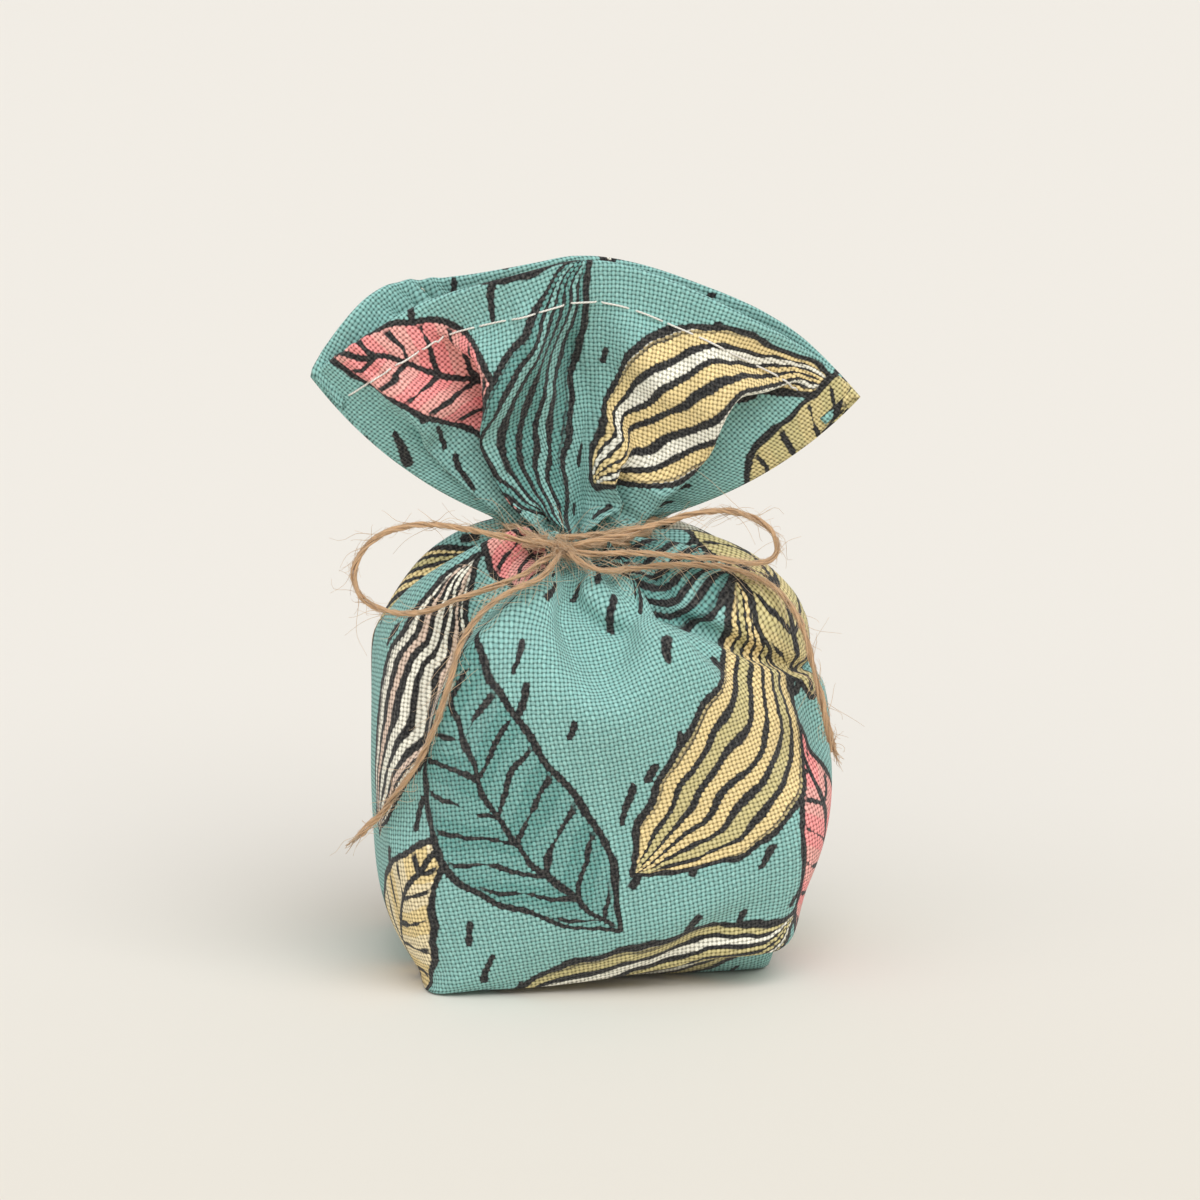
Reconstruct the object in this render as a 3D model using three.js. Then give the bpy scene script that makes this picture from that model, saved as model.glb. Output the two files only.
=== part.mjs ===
// A small stuffed pouch of printed canvas, gathered at the neck and tied with jute twine.
// Millimetres, +Z up, front towards -Y. The origin is on the surface it stands on, below the neck.
import * as THREE from 'three';

// Cloth
const clothThickness = 0.7;
const touchGap = 0.3; // clearance between pieces that lie on each other
const seamAllowance = 6;
const seamStartHeight = 5; // the side seams' allowances start above the corner flaps
const seamEndShare = 0.75; // and end at this share of the way from the belly to the neck

// Body, measured over the cloth
const baseWidth = 62;
const baseDepth = 50;
const baseSquareness = 8; // exponent of the rounded rectangle
const bellyWidth = 81;
const bellyDepth = 67;
const bellyHeight = 46;
const bellySquareness = 2.1;
const lowerBulge = 3.6; // how early the wall swells out above the base
const shoulderFullness = 2.4; // exponent of the shoulder's curve: 2 is an ellipse, more is fuller
const bodyShift = 4; // the body stands this far to the right of the neck
const cornerFlapMargin = 5; // the flaps stay clear of the base's round corners

// Neck, where the panels run into the gather
const neckWidth = 24;
const neckDepth = 16;
const neckHeight = 73;
const neckSquareness = 2;
const gatherHeight = 7;
const gatherFlutes = 14;
const fluteDepth = 0.7;
const coreHeight = 5; // the bunched cloth narrows to a core inside the mouth
const coreWidth = 13;
const coreDepth = 9;

// Mouth, the fan of cloth above the tie
const mouthTilt = 15; // degrees that the fan can be bent each way
const mouthHeight = 126;
const mouthDepth = 14; // between the walls, in the middle of the top edge
const fanWidth = 95;
const fanSpread = 62; // degrees from the middle of the fan to a wing tip
const leftWingDrop = 21;
const rightWingDrop = 26;
const foldDepth = 1.6;
const foldCount = 3;
const hemDepth = 8;
const stitchDepth = 6.5; // of the stitch row below the top edge
const stitchMargin = 0.03; // share of each wing tip that the stitches leave free
const threadDiameter = 0.4;

// Twine
const twineDiameter = 1.5;
const wrapPitch = 2.2;
const wrapReach = 60; // degrees each side of the front where the turns leave the neck for the knot
const wrapSteps = 24; // per turn
const knotDiameter = 6;
const knotShift = -4; // the bow is tied a little left of the neck's middle
const knotHeight = 76.2;
const wrapStartLift = 40; // degrees above level at which the upper end enters the knot
const wrapEndLift = -10; // and the lower end

const cloth = new THREE.MeshStandardMaterial({ color: 0x6cb2a3, roughness: 0.9, metalness: 0 });
const liningSide = new THREE.MeshStandardMaterial({ color: 0xe4dcc8, roughness: 0.95, metalness: 0 });
const stuffing = new THREE.MeshStandardMaterial({ color: 0xf1eee6, roughness: 1, metalness: 0 });
const stitching = new THREE.MeshStandardMaterial({ color: 0xf2efe8, roughness: 0.7, metalness: 0 });
const jute = new THREE.MeshStandardMaterial({ color: 0xc49a6c, roughness: 0.95, metalness: 0 });

const lerp = THREE.MathUtils.lerp;
const radians = THREE.MathUtils.degToRad;
const pouch = new THREE.Group();

function addPiece(name, geometry, material) {
  const piece = new THREE.Mesh(geometry, material);
  piece.name = name;
  pouch.add(piece);
  return piece;
}

// Turns a list of triangles of points into a geometry whose faces point outwards.
function geometryFromTriangles(triangles) {
  const isFlat = ([a, b, c]) => a.equals(b) || b.equals(c) || c.equals(a);
  const kept = triangles.filter((triangle) => !isFlat(triangle));
  const volume = kept.reduce((sum, [a, b, c]) => sum + a.dot(b.clone().cross(c)), 0);
  const outward = volume < 0 ? kept.map(([a, b, c]) => [a, c, b]) : kept;
  return new THREE.BufferGeometry().setFromPoints(outward.flat());
}

// Two triangles for each cell between neighbouring rows of points.
function skin(rows) {
  const triangles = [];
  for (let i = 0; i + 1 < rows.length; i += 1) {
    for (let j = 0; j + 1 < rows[i].length; j += 1) {
      const [a, b, c, d] = [rows[i][j], rows[i][j + 1], rows[i + 1][j + 1], rows[i + 1][j]];
      triangles.push([a, b, c], [a, c, d]);
    }
  }
  return triangles;
}

// A sheet with thickness: two grids of points of the same size, joined along their four edges.
function sheetSolid(outer, inner) {
  const edge = (rows, column) => rows.map((row) => row.at(column));
  const turned = (triangles) => triangles.map(([a, b, c]) => [a, c, b]);
  return geometryFromTriangles([
    ...skin(outer),
    ...turned(skin(inner)),
    ...turned(skin([outer[0], inner[0]])),
    ...skin([outer.at(-1), inner.at(-1)]),
    ...skin([edge(outer, 0), edge(inner, 0)]),
    ...turned(skin([edge(outer, -1), edge(inner, -1)])),
  ]);
}

// A solid through closed rings of points, with a flat fan over each end.
function loftSolid(rings) {
  const closed = rings.map((ring) => [...ring, ring[0]]);
  const cap = (ring) => {
    const middle = new THREE.Vector3();
    ring.slice(1).forEach((point) => middle.addScaledVector(point, 1 / (ring.length - 1)));
    return skin([ring, ring.map(() => middle)]);
  };
  const turned = (triangles) => triangles.map(([a, b, c]) => [a, c, b]);
  return geometryFromTriangles([...skin(closed), ...turned(cap(closed[0])), ...cap(closed.at(-1))]);
}

function tubeSolid(path, diameter, sides, steps) {
  const section = new THREE.Shape();
  for (let i = 0; i < sides; i += 1) {
    const angle = (i / sides) * 2 * Math.PI;
    const [x, y] = [(Math.cos(angle) * diameter) / 2, (Math.sin(angle) * diameter) / 2];
    if (i === 0) section.moveTo(x, y);
    else section.lineTo(x, y);
  }
  return new THREE.ExtrudeGeometry(section, { steps, extrudePath: path });
}

// Body. A height on the wall is a level from 0 at the base's edge to 1 at the belly and 2 at the neck,
// and levels from -1 to 0 run across the underside from its middle to its edge.
function bodyProfile(level) {
  if (level <= 1) {
    const swell = 1 - (1 - level) ** lowerBulge;
    return {
      halfWidth: lerp(baseWidth, bellyWidth, swell) / 2,
      halfDepth: lerp(baseDepth, bellyDepth, swell) / 2,
      squareness: lerp(baseSquareness, bellySquareness, Math.sqrt(level)),
      height: level * bellyHeight,
    };
  }
  const angle = ((level - 1) * Math.PI) / 2; // the shoulder is a quarter of an ellipse made fuller
  const drawnIn = Math.abs(Math.cos(angle)) ** (2 / shoulderFullness);
  const raised = Math.sin(angle) ** (2 / shoulderFullness);
  return {
    halfWidth: lerp(neckWidth, bellyWidth, drawnIn) / 2,
    halfDepth: lerp(neckDepth, bellyDepth, drawnIn) / 2,
    squareness: lerp(bellySquareness, neckSquareness, level - 1),
    height: lerp(bellyHeight, neckHeight, raised),
  };
}

// The outline of the body at a level, drawn in by an inset square to the wall.
function bodyOutline(level, inset) {
  if (level <= 0) {
    const edge = bodyProfile(0);
    const share = level + 1;
    return {
      halfWidth: (edge.halfWidth - inset) * share,
      halfDepth: (edge.halfDepth - inset) * share,
      squareness: baseSquareness,
      height: inset,
      shift: bodyShift,
    };
  }
  const step = 0.01;
  const here = bodyProfile(level);
  const below = bodyProfile(Math.max(level - step, 0));
  const above = bodyProfile(Math.min(level + step, 2));
  const outward = (above.halfWidth + above.halfDepth - below.halfWidth - below.halfDepth) / 2;
  const upward = above.height - below.height;
  const length = Math.hypot(outward, upward);
  return {
    halfWidth: here.halfWidth - (inset * upward) / length,
    halfDepth: here.halfDepth - (inset * upward) / length,
    squareness: here.squareness,
    height: here.height + (inset * outward) / length,
    shift: bodyShift * (1 - Math.max(level - 1, 0) ** 4),
  };
}

// Half of an outline, from the left side seam round the front to the right one.
class HalfOutline extends THREE.Curve {
  constructor(outline) {
    super();
    this.outline = outline;
    this.arcLengthDivisions = 400;
  }

  getPoint(share, target = new THREE.Vector3()) {
    const { halfWidth, halfDepth, squareness, height, shift } = this.outline;
    const angle = (share - 0.5) * Math.PI;
    const across = Math.abs(Math.sin(angle) / Math.max(halfWidth, 1e-6)) ** squareness;
    const along = Math.abs(Math.cos(angle) / Math.max(halfDepth, 1e-6)) ** squareness;
    const radius = (across + along) ** (-1 / squareness);
    return target.set(shift + radius * Math.sin(angle), -radius * Math.cos(angle), height);
  }
}

// Points of half an outline; side is -1 for the front half and 1 for the back half.
function halfRing(outline, side, steps, apart) {
  if (outline.halfWidth < 1e-6) {
    const middle = new THREE.Vector3(outline.shift, side * apart, outline.height);
    return Array.from({ length: steps + 1 }, () => middle);
  }
  const points = new HalfOutline(outline).getSpacedPoints(steps);
  return points.map(({ x, y, z }) => new THREE.Vector3(x, side * (Math.abs(y) + apart), z));
}

const panelSteps = 24;
const seamStartLevel = seamStartHeight / bellyHeight;
const seamEndLevel = 1 + seamEndShare;
const panelLevels = [-1, -0.5, 0, 0.28, 0.55, 1, 1.25, 1.45, 1.62, 1.88, 2, seamStartLevel, seamEndLevel];
panelLevels.sort((a, b) => a - b);

function panelSolid(side) {
  const rows = (inset) =>
    panelLevels.map((level) => halfRing(bodyOutline(level, inset), side, panelSteps, touchGap / 2));
  return sheetSolid(rows(0), rows(clothThickness));
}

addPiece('front_panel', panelSolid(-1), cloth);
addPiece('back_panel', panelSolid(1), cloth);

// Inside the body
const seamInset = clothThickness + touchGap;
const seamThickness = clothThickness;
const flapThickness = 2 * clothThickness;

// A side seam's allowances, a strip against the inside of the wall; side is -1 left, 1 right.
function sideSeamSolid(side) {
  const columns = 4;
  const levels = panelLevels.filter((level) => level >= seamStartLevel && level <= seamEndLevel);
  const rows = (inset) =>
    levels.map((level) => {
      const { halfWidth, halfDepth, squareness, height, shift } = bodyOutline(level, inset);
      return Array.from({ length: columns + 1 }, (_, j) => {
        const y = lerp(-seamAllowance, seamAllowance, j / columns);
        const reach = (1 - Math.abs(y / halfDepth) ** squareness) ** (1 / squareness);
        return new THREE.Vector3(shift + side * halfWidth * reach, y, height);
      });
    });
  return sheetSolid(rows(seamInset), rows(seamInset + seamThickness));
}

addPiece('left_side_seam', sideSeamSolid(-1), liningSide);
addPiece('right_side_seam', sideSeamSolid(1), liningSide);

// A boxed corner leaves a triangle of doubled cloth on the base, its long side along the base's end.
const flapLongEdge = baseWidth / 2 - seamInset - clothThickness;
const flapHalfLength = baseDepth / 2 - cornerFlapMargin;
const flapTip = flapLongEdge - flapHalfLength;

function cornerFlapSolid(side) {
  const outline = new THREE.Shape([
    new THREE.Vector2(side * flapLongEdge, -flapHalfLength),
    new THREE.Vector2(side * flapLongEdge, flapHalfLength),
    new THREE.Vector2(side * flapTip, 0),
  ]);
  return new THREE.ExtrudeGeometry(outline, { depth: flapThickness, bevelEnabled: false });
}

addPiece('left_corner_flap', cornerFlapSolid(-1), liningSide).position.set(bodyShift, 0, seamInset);
addPiece('right_corner_flap', cornerFlapSolid(1), liningSide).position.set(bodyShift, 0, seamInset);

const bottomSeam = new THREE.BoxGeometry(2 * (flapTip - touchGap), 2 * seamAllowance, seamThickness);
const bottomSeamHeight = seamInset + seamThickness / 2;
addPiece('bottom_seam', bottomSeam, liningSide).position.set(bodyShift, 0, bottomSeamHeight);

const fillingInset = seamInset + seamThickness + touchGap;
const fillingBottom = seamInset + flapThickness + touchGap;
const fillingSteps = 16;
const fillingRings = panelLevels.filter((level) => level >= 0 && level < 2).map((level) => {
  const outline = bodyOutline(level, fillingInset);
  if (level === 0) outline.height = fillingBottom;
  const front = halfRing(outline, -1, fillingSteps, 0);
  const back = halfRing(outline, 1, fillingSteps, 0).reverse();
  return [...front, ...back.slice(1, -1)];
});
addPiece('filling', loftSolid(fillingRings), stuffing);

// Neck. The gathered cloth is a fluted plug that stands on the rim of the panels.
const neckFoot = neckHeight + touchGap;
const neckTop = neckFoot + gatherHeight;
const stepsPerFlute = 4;

function gatherRing(width, depth, height) {
  const steps = gatherFlutes * stepsPerFlute;
  return Array.from({ length: steps }, (_, i) => {
    const angle = (i / steps) * 2 * Math.PI;
    const flute = (fluteDepth * (1 - Math.cos(gatherFlutes * angle))) / 2;
    const x = (width / 2 - flute) * Math.cos(angle);
    const y = (depth / 2 - flute) * Math.sin(angle);
    return new THREE.Vector3(x, y, height);
  });
}

const gatherRings = [
  gatherRing(neckWidth, neckDepth, neckFoot),
  gatherRing(neckWidth, neckDepth, neckTop),
  gatherRing(coreWidth, coreDepth, neckTop + coreHeight),
];
addPiece('neck_gather', loftSolid(gatherRings), cloth);

// Mouth. Each wall is a fan: straight lines from the neck's rim to the top edge, with soft folds across.
// Its lower edge climbs away from the side seams, which leaves room to bend the fan to and fro.
const wingSpread = radians(fanSpread);
const flareLength = mouthHeight - neckTop;

function mouthInside(across, up, side) {
  const turn = (across * Math.PI) / 2;
  const low = new THREE.Vector3(
    (neckWidth / 2) * Math.sin(turn),
    (side * neckDepth * Math.cos(turn)) / 2,
    neckTop + touchGap,
  );
  low.z += Math.abs(low.y) * Math.tan(radians(mouthTilt));
  const drop = across < 0 ? leftWingDrop : rightWingDrop;
  const spread = across * wingSpread;
  const high = new THREE.Vector3(
    (fanWidth / 2) * (Math.sin(spread) / Math.sin(wingSpread)),
    (side * mouthDepth * (1 - across ** 2)) / 2,
    mouthHeight - drop * ((1 - Math.cos(spread)) / (1 - Math.cos(wingSpread))),
  );
  const point = low.lerp(high, up);
  point.y += (side * touchGap) / 2;
  point.y += foldDepth * Math.sin(foldCount * Math.PI * across) * (1 - across ** 4) * up;
  return point;
}

// A point off the inside of a wall: a positive distance goes out through the cloth.
function mouthPoint(across, up, side, distance) {
  const step = 0.002;
  const at = (a, u) => mouthInside(THREE.MathUtils.clamp(a, -1, 1), THREE.MathUtils.clamp(u, 0, 1), side);
  const alongEdge = at(across + step, up).sub(at(across - step, up));
  const alongFan = at(across, up + step).sub(at(across, up - step));
  const outward = alongEdge.cross(alongFan).normalize().multiplyScalar(-side);
  return mouthInside(across, up, side).addScaledVector(outward, distance);
}

function mouthRows(side, distance, reach, steps, heights) {
  const across = Array.from({ length: steps + 1 }, (_, j) => lerp(-reach, reach, j / steps));
  return heights.map((up) => across.map((a) => mouthPoint(a, up, side, distance)));
}

const wallSteps = 24;
const wallHeights = [0, 0.17, 0.34, 0.51, 0.68, 0.84, 1];

function mouthWallSolid(side) {
  const rows = (distance) => mouthRows(side, distance, 1, wallSteps, wallHeights);
  return sheetSolid(rows(clothThickness), rows(0));
}

// The hems stop where the wings leave no room for both of them.
const hemRoom = 2 * (touchGap + clothThickness);
const hemReach = Math.sqrt(1 - (2 * hemRoom) / mouthDepth);

function hemSolid(side) {
  const heights = [1 - hemDepth / flareLength, 1 - hemDepth / flareLength / 2, 1];
  const rows = (distance) => mouthRows(side, distance, hemReach, wallSteps, heights);
  return sheetSolid(rows(-touchGap), rows(-touchGap - clothThickness));
}

function hemThreadSolid(side) {
  const off = clothThickness + touchGap + threadDiameter / 2;
  const up = 1 - stitchDepth / flareLength;
  const [points] = mouthRows(side, off, 1 - stitchMargin, wallSteps, [up]);
  return tubeSolid(new THREE.CatmullRomCurve3(points), threadDiameter, 5, 2 * wallSteps);
}

addPiece('front_mouth_wall', mouthWallSolid(-1), cloth);
addPiece('back_mouth_wall', mouthWallSolid(1), cloth);
addPiece('front_hem', hemSolid(-1), cloth);
addPiece('back_hem', hemSolid(1), cloth);
addPiece('front_hem_thread', hemThreadSolid(-1), stitching);
addPiece('back_hem_thread', hemThreadSolid(1), stitching);

// Twine. The knot is a ball in front of the turns, and every strand leaves it square to its surface.
const wrapHalfWidth = neckWidth / 2 + touchGap + twineDiameter / 2;
const wrapHalfDepth = neckDepth / 2 + touchGap + twineDiameter / 2;
const knotRadius = knotDiameter / 2;
const knotFront = wrapHalfDepth + twineDiameter / 2 + touchGap + knotRadius;
const knotMiddle = new THREE.Vector3(knotShift, -knotFront, knotHeight);
const strandStart = knotRadius + touchGap;
const wrapHeight = knotHeight - twineDiameter / 2;

// The turns run from the left of the front round the back to the right of the front, twice past the back.
function wrapPath() {
  const turns = 2 - (2 * wrapReach) / 360;
  const count = Math.round(turns * wrapSteps);
  const wound = Array.from({ length: count + 1 }, (_, i) => {
    const turned = (i / count) * turns;
    const angle = radians(-wrapReach) - turned * 2 * Math.PI;
    return new THREE.Vector3(
      wrapHalfWidth * Math.sin(angle),
      -wrapHalfDepth * Math.cos(angle),
      wrapHeight + wrapPitch * (turns - turned),
    );
  });
  const enter = (woundEnd, lift) => {
    const level = woundEnd.clone().sub(knotMiddle).setZ(0).normalize();
    const out = level.multiplyScalar(Math.cos(lift)).setZ(Math.sin(lift));
    const at = (distance) => knotMiddle.clone().addScaledVector(out, distance);
    return [at(strandStart), at(strandStart + twineDiameter / 2), at(strandStart + twineDiameter)];
  };
  const first = enter(wound[0], radians(wrapStartLift));
  const last = enter(wound.at(-1), radians(wrapEndLift)).reverse();
  return new THREE.CatmullRomCurve3([...first, ...wound, ...last]);
}

const wrapCurve = wrapPath();
const wrapTubeSteps = 56;
addPiece('twine_wrap', tubeSolid(wrapCurve, twineDiameter, 6, wrapTubeSteps), jute);
addPiece('twine_knot', new THREE.SphereGeometry(knotRadius, 14, 10), jute).position.copy(knotMiddle);

// Least gap of the turns to themselves, between points at least three diameters apart along the twine.
const wrapSamples = 400;
const wrapPoints = wrapCurve.getSpacedPoints(wrapSamples);
const pointsApart = Math.ceil((3 * twineDiameter * wrapSamples) / wrapCurve.getLength());
let leastGap = Infinity;
wrapPoints.forEach((point, i) => {
  wrapPoints.slice(i + pointsApart).forEach((other) => {
    leastGap = Math.min(leastGap, point.distanceTo(other) - twineDiameter);
  });
});
console.log(`twine_wrap: least gap to itself ${leastGap.toFixed(2)} mm`);

// Strands of the bow, from the middle of the knot. Each first and last point of a loop, and each first
// point of a tail, gives the way that the strand leaves the knot.
const leftLoopRoute = [
  [-0.9, -0.2, 0.4], [-7, -1.2, 2], [-12.5, -1.6, 3.4], [-18, -1.8, 4.7], [-23.5, -1.8, 5.4],
  [-28.5, -1.6, 5], [-32.6, -1.4, 3.2], [-35.6, -1.2, 0.2], [-36.6, -1.3, -3.4], [-35.6, -1.5, -6.8],
  [-32.4, -2, -9.4], [-28, -2.3, -10.2], [-23.3, -2.7, -9.5], [-18, -3.7, -7.2], [-12.4, -4.3, -5.2],
  [-7.2, -3.5, -3.5], [-0.85, -0.45, -0.27],
];
const rightLoopRoute = [
  [0.9, -0.2, 0.35], [7, -1.3, 2], [13, -1.4, 3.6], [18.5, -1.4, 5.2], [23.5, -1.4, 6.4], [28, -1.4, 6.6],
  [32, -1.4, 5.6], [35.4, -1.5, 3.6], [37.2, -1.6, 0.8], [36.9, -2, -1.7], [34.5, -2.6, -2.5],
  [30.5, -3.4, -2.2], [26.3, -3.9, -1.3], [21.3, -4.4, -0.9], [15.3, -4.3, -0.2], [8.9, -3.4, 0],
  [0.88, -0.45, -0.1],
];
const leftTailRoute = [
  [-0.45, -0.86, -0.24], [-4.3, -5, -3.8], [-8.4, -6.3, -5], [-12.6, -7.6, -7], [-16, -8.9, -9.8],
  [-18.8, -10.3, -13.8], [-20.4, -11.3, -18.6], [-21.7, -11.7, -23.4], [-23.3, -11.8, -27.7],
  [-25.1, -11.1, -32.2], [-27.5, -9.8, -36.6], [-30, -7.7, -40.9], [-32.5, -4.6, -45.2], [-36, -2.2, -49.4],
];
const rightTailRoute = [
  [0.45, -0.86, -0.24], [3.8, -5.2, -3.4], [8.1, -4.7, -3.2], [13.1, -3.3, -2.7], [18.5, -2, -2.7],
  [23.9, -0.5, -3.1], [28.8, 0.8, -4.2], [33.3, 0.7, -5.5], [37, -0.6, -7.7], [39.8, -2.4, -11.1],
  [41.7, -4.1, -15.5], [42.9, -5.2, -20.4], [44, -6, -25.4], [45.2, -6.2, -30.5], [46.9, -3.8, -36],
];
const strandSides = 8;
const strandSteps = 28;

function strandSolid(route, returns) {
  const points = route.map((point) => new THREE.Vector3(...point));
  const first = points[0].setLength(strandStart);
  const straight = first.clone().setLength(strandStart + twineDiameter);
  const path = [first, straight, ...points.slice(1)];
  if (returns) {
    const last = path.at(-1).setLength(strandStart);
    path.splice(-1, 0, last.clone().setLength(strandStart + twineDiameter));
  }
  return tubeSolid(new THREE.CatmullRomCurve3(path), twineDiameter, strandSides, strandSteps);
}

addPiece('left_bow_loop', strandSolid(leftLoopRoute, true), jute).position.copy(knotMiddle);
addPiece('right_bow_loop', strandSolid(rightLoopRoute, true), jute).position.copy(knotMiddle);
addPiece('left_twine_tail', strandSolid(leftTailRoute, false), jute).position.copy(knotMiddle);
addPiece('right_twine_tail', strandSolid(rightTailRoute, false), jute).position.copy(knotMiddle);

export default pouch;
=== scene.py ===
import math
import bpy
import numpy as np
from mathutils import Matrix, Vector


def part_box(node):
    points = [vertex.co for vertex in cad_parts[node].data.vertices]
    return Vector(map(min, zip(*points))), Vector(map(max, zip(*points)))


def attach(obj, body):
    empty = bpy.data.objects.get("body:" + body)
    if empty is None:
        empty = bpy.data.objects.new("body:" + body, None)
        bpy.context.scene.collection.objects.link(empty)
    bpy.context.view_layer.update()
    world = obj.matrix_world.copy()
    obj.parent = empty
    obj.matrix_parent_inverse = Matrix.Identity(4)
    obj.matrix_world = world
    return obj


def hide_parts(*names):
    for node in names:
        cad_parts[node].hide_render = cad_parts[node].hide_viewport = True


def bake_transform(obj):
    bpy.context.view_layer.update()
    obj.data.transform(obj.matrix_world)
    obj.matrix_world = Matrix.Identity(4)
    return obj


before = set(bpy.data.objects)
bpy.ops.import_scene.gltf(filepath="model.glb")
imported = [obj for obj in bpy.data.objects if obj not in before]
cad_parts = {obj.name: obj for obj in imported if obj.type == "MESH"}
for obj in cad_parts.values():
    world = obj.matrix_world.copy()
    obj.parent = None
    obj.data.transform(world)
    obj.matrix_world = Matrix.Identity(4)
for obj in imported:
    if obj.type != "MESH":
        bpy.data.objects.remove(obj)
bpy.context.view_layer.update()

# Lengths below are in millimetres and turn into metres when a mesh is made.
millimetre = 0.001


def mix(a, b, t):
    # the value a share t of the way from a to b
    return a + (b - a) * t


def ramp(low, high, x):
    # smooth step from 0 at low to 1 at high
    t = np.clip((x - low) / (high - low), 0, 1)
    return t * t * (3 - 2 * t)


def unit(v):
    # each vector at length 1
    return v / (np.linalg.norm(v, axis=-1, keepdims=True) + 1e-12)


def stepsOf(path):
    # the length of each step of a path
    return np.linalg.norm(np.diff(path, axis=0), axis=1)


def runOf(steps):
    # how far along each point lies
    return np.concatenate([[0], np.cumsum(steps)])


def pointsAt(at, run, points):
    # points at given distances along a path, on straight lines between its own
    return np.stack([np.interp(at, run, points[:, k]) for k in range(3)], -1)


# camera, at the photograph's angle
cameraSet = dict(azimuth=-6.0, elevation=13.0, distance=1.0, viewWide=0.2105, target=(0.00365, 0.0, 0.0641),
                 sensor=36.0)
viewTurn, viewRise = math.radians(cameraSet["azimuth"]), math.radians(cameraSet["elevation"])
toView = np.array([math.sin(viewTurn) * math.cos(viewRise), -math.cos(viewTurn) * math.cos(viewRise),
                   math.sin(viewRise)])


def placeCamera(s):
    # the lens is set so that viewWide fills the frame's width at the target
    back = Vector(toView)
    data = bpy.data.cameras.new("camera")
    data.sensor_width = s["sensor"]
    data.lens = s["sensor"] * s["distance"] / s["viewWide"]
    camera = bpy.data.objects.new("camera", data)
    camera.location = Vector(s["target"]) + back * s["distance"]
    camera.rotation_mode = "QUATERNION"
    camera.rotation_quaternion = (-back).to_track_quat("-Z", "Y")
    bpy.context.collection.objects.link(camera)
    bpy.context.scene.camera = camera


placeCamera(cameraSet)
print("camera placed")


# mesh helpers
def gridFaces(rows, columns, closed):
    # the four corners of each cell, row by row; a closed grid joins its last column to its first
    r = np.arange(rows - 1)[:, None] * columns
    c = np.arange(columns if closed else columns - 1)[None, :]
    n = (c + 1) % columns
    return np.stack([r + c, r + n, r + columns + n, r + columns + c], -1).reshape(-1, 4)


def gridUv(uv):
    # one pair for each corner of each face; uv has a column more than a closed grid
    return np.stack([uv[:-1, :-1], uv[:-1, 1:], uv[1:, 1:], uv[1:, :-1]], 2).reshape(-1, 2)


def makeMesh(name, points, faces, uv, materials):
    # points in millimetres become a smooth mesh in metres, with the cut's coordinates where given
    mesh = bpy.data.meshes.new(name)
    mesh.from_pydata((np.asarray(points).reshape(-1, 3) * millimetre).tolist(), [], faces)
    mesh.polygons.foreach_set("use_smooth", np.ones(len(mesh.polygons), bool))
    if uv is not None:
        layer = mesh.uv_layers.new(name="cut")
        layer.data.foreach_set("uv", np.asarray(uv, np.float32).ravel())
    for material in materials:
        mesh.materials.append(material)
    mesh.update()
    piece = bpy.data.objects.new(name, mesh)
    bpy.context.collection.objects.link(piece)
    return piece


# twine: the routes of the solids from the middle of the knot, the right tail's start a little straighter
twineSet = dict(diameter=1.5, knot=(-4.0, -13.1, 76.2), knotRadius=3.0, touch=0.3, root=1.6, spacing=0.35,
                evening=40, wrapWide=13.05, wrapDeep=9.05, wrapLow=74.95, wrapPitch=1.5, wrapTurns=2.67,
                wrapReach=60.0)
twineRoutes = dict(
    left_bow_loop=[
        (-0.9, -0.2, 0.4), (-7, -1.2, 2), (-12.5, -1.6, 3.4), (-18, -1.8, 4.7), (-23.5, -1.8, 5.4),
        (-28.5, -1.6, 5), (-32.6, -1.4, 3.2), (-35.6, -1.2, 0.2), (-36.6, -1.3, -3.4), (-35.6, -1.5, -6.8),
        (-32.4, -2, -9.4), (-28, -2.3, -10.2), (-23.3, -2.7, -9.5), (-18, -3.7, -7.2), (-12.4, -4.3, -5.2),
        (-7.2, -3.5, -3.5), (-0.85, -0.45, -0.27)],
    right_bow_loop=[
        (0.9, -0.2, 0.35), (7, -1.3, 2), (13, -1.4, 3.6), (18.5, -1.4, 5.2), (23.5, -1.4, 6.4),
        (28, -1.4, 6.6), (32, -1.4, 5.6), (35.4, -1.5, 3.6), (37.2, -1.6, 0.8), (36.9, -2, -1.7),
        (34.5, -2.6, -2.5), (30.5, -3.4, -2.2), (26.3, -3.9, -1.3), (21.3, -4.4, -0.9), (15.3, -4.3, -0.2),
        (8.9, -3.4, 0), (0.88, -0.45, -0.1)],
    left_twine_tail=[
        (-0.45, -0.86, -0.24), (-4.3, -5, -3.8), (-8.4, -6.3, -5), (-12.6, -7.6, -7), (-16, -8.9, -9.8),
        (-18.8, -10.3, -13.8), (-20.4, -11.3, -18.6), (-21.7, -11.7, -23.4), (-23.3, -11.8, -27.7),
        (-25.1, -11.1, -32.2), (-27.5, -9.8, -36.6), (-30, -7.7, -40.9), (-32.5, -4.6, -45.2),
        (-36, -2.2, -49.4)],
    right_twine_tail=[
        (0.45, -0.86, -0.24), (4.6, -5.3, -2.5), (8.6, -4.8, -2.8), (13.1, -3.3, -2.7), (18.5, -2, -2.7),
        (23.9, -0.5, -3.1), (28.8, 0.8, -4.2), (33.3, 0.7, -5.5), (37, -0.6, -7.7), (39.8, -2.4, -11.1),
        (41.7, -4.1, -15.5), (42.9, -5.2, -20.4), (44, -6, -25.4), (45.2, -6.2, -30.5), (46.9, -3.8, -36)])
knotMiddle = np.array(twineSet["knot"])


def evenPath(points, spacing):
    # the same path with points at even distances
    run = runOf(stepsOf(points))
    return pointsAt(np.linspace(0, run[-1], max(2, int(round(run[-1] / spacing)) + 1)), run, points)


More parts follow.
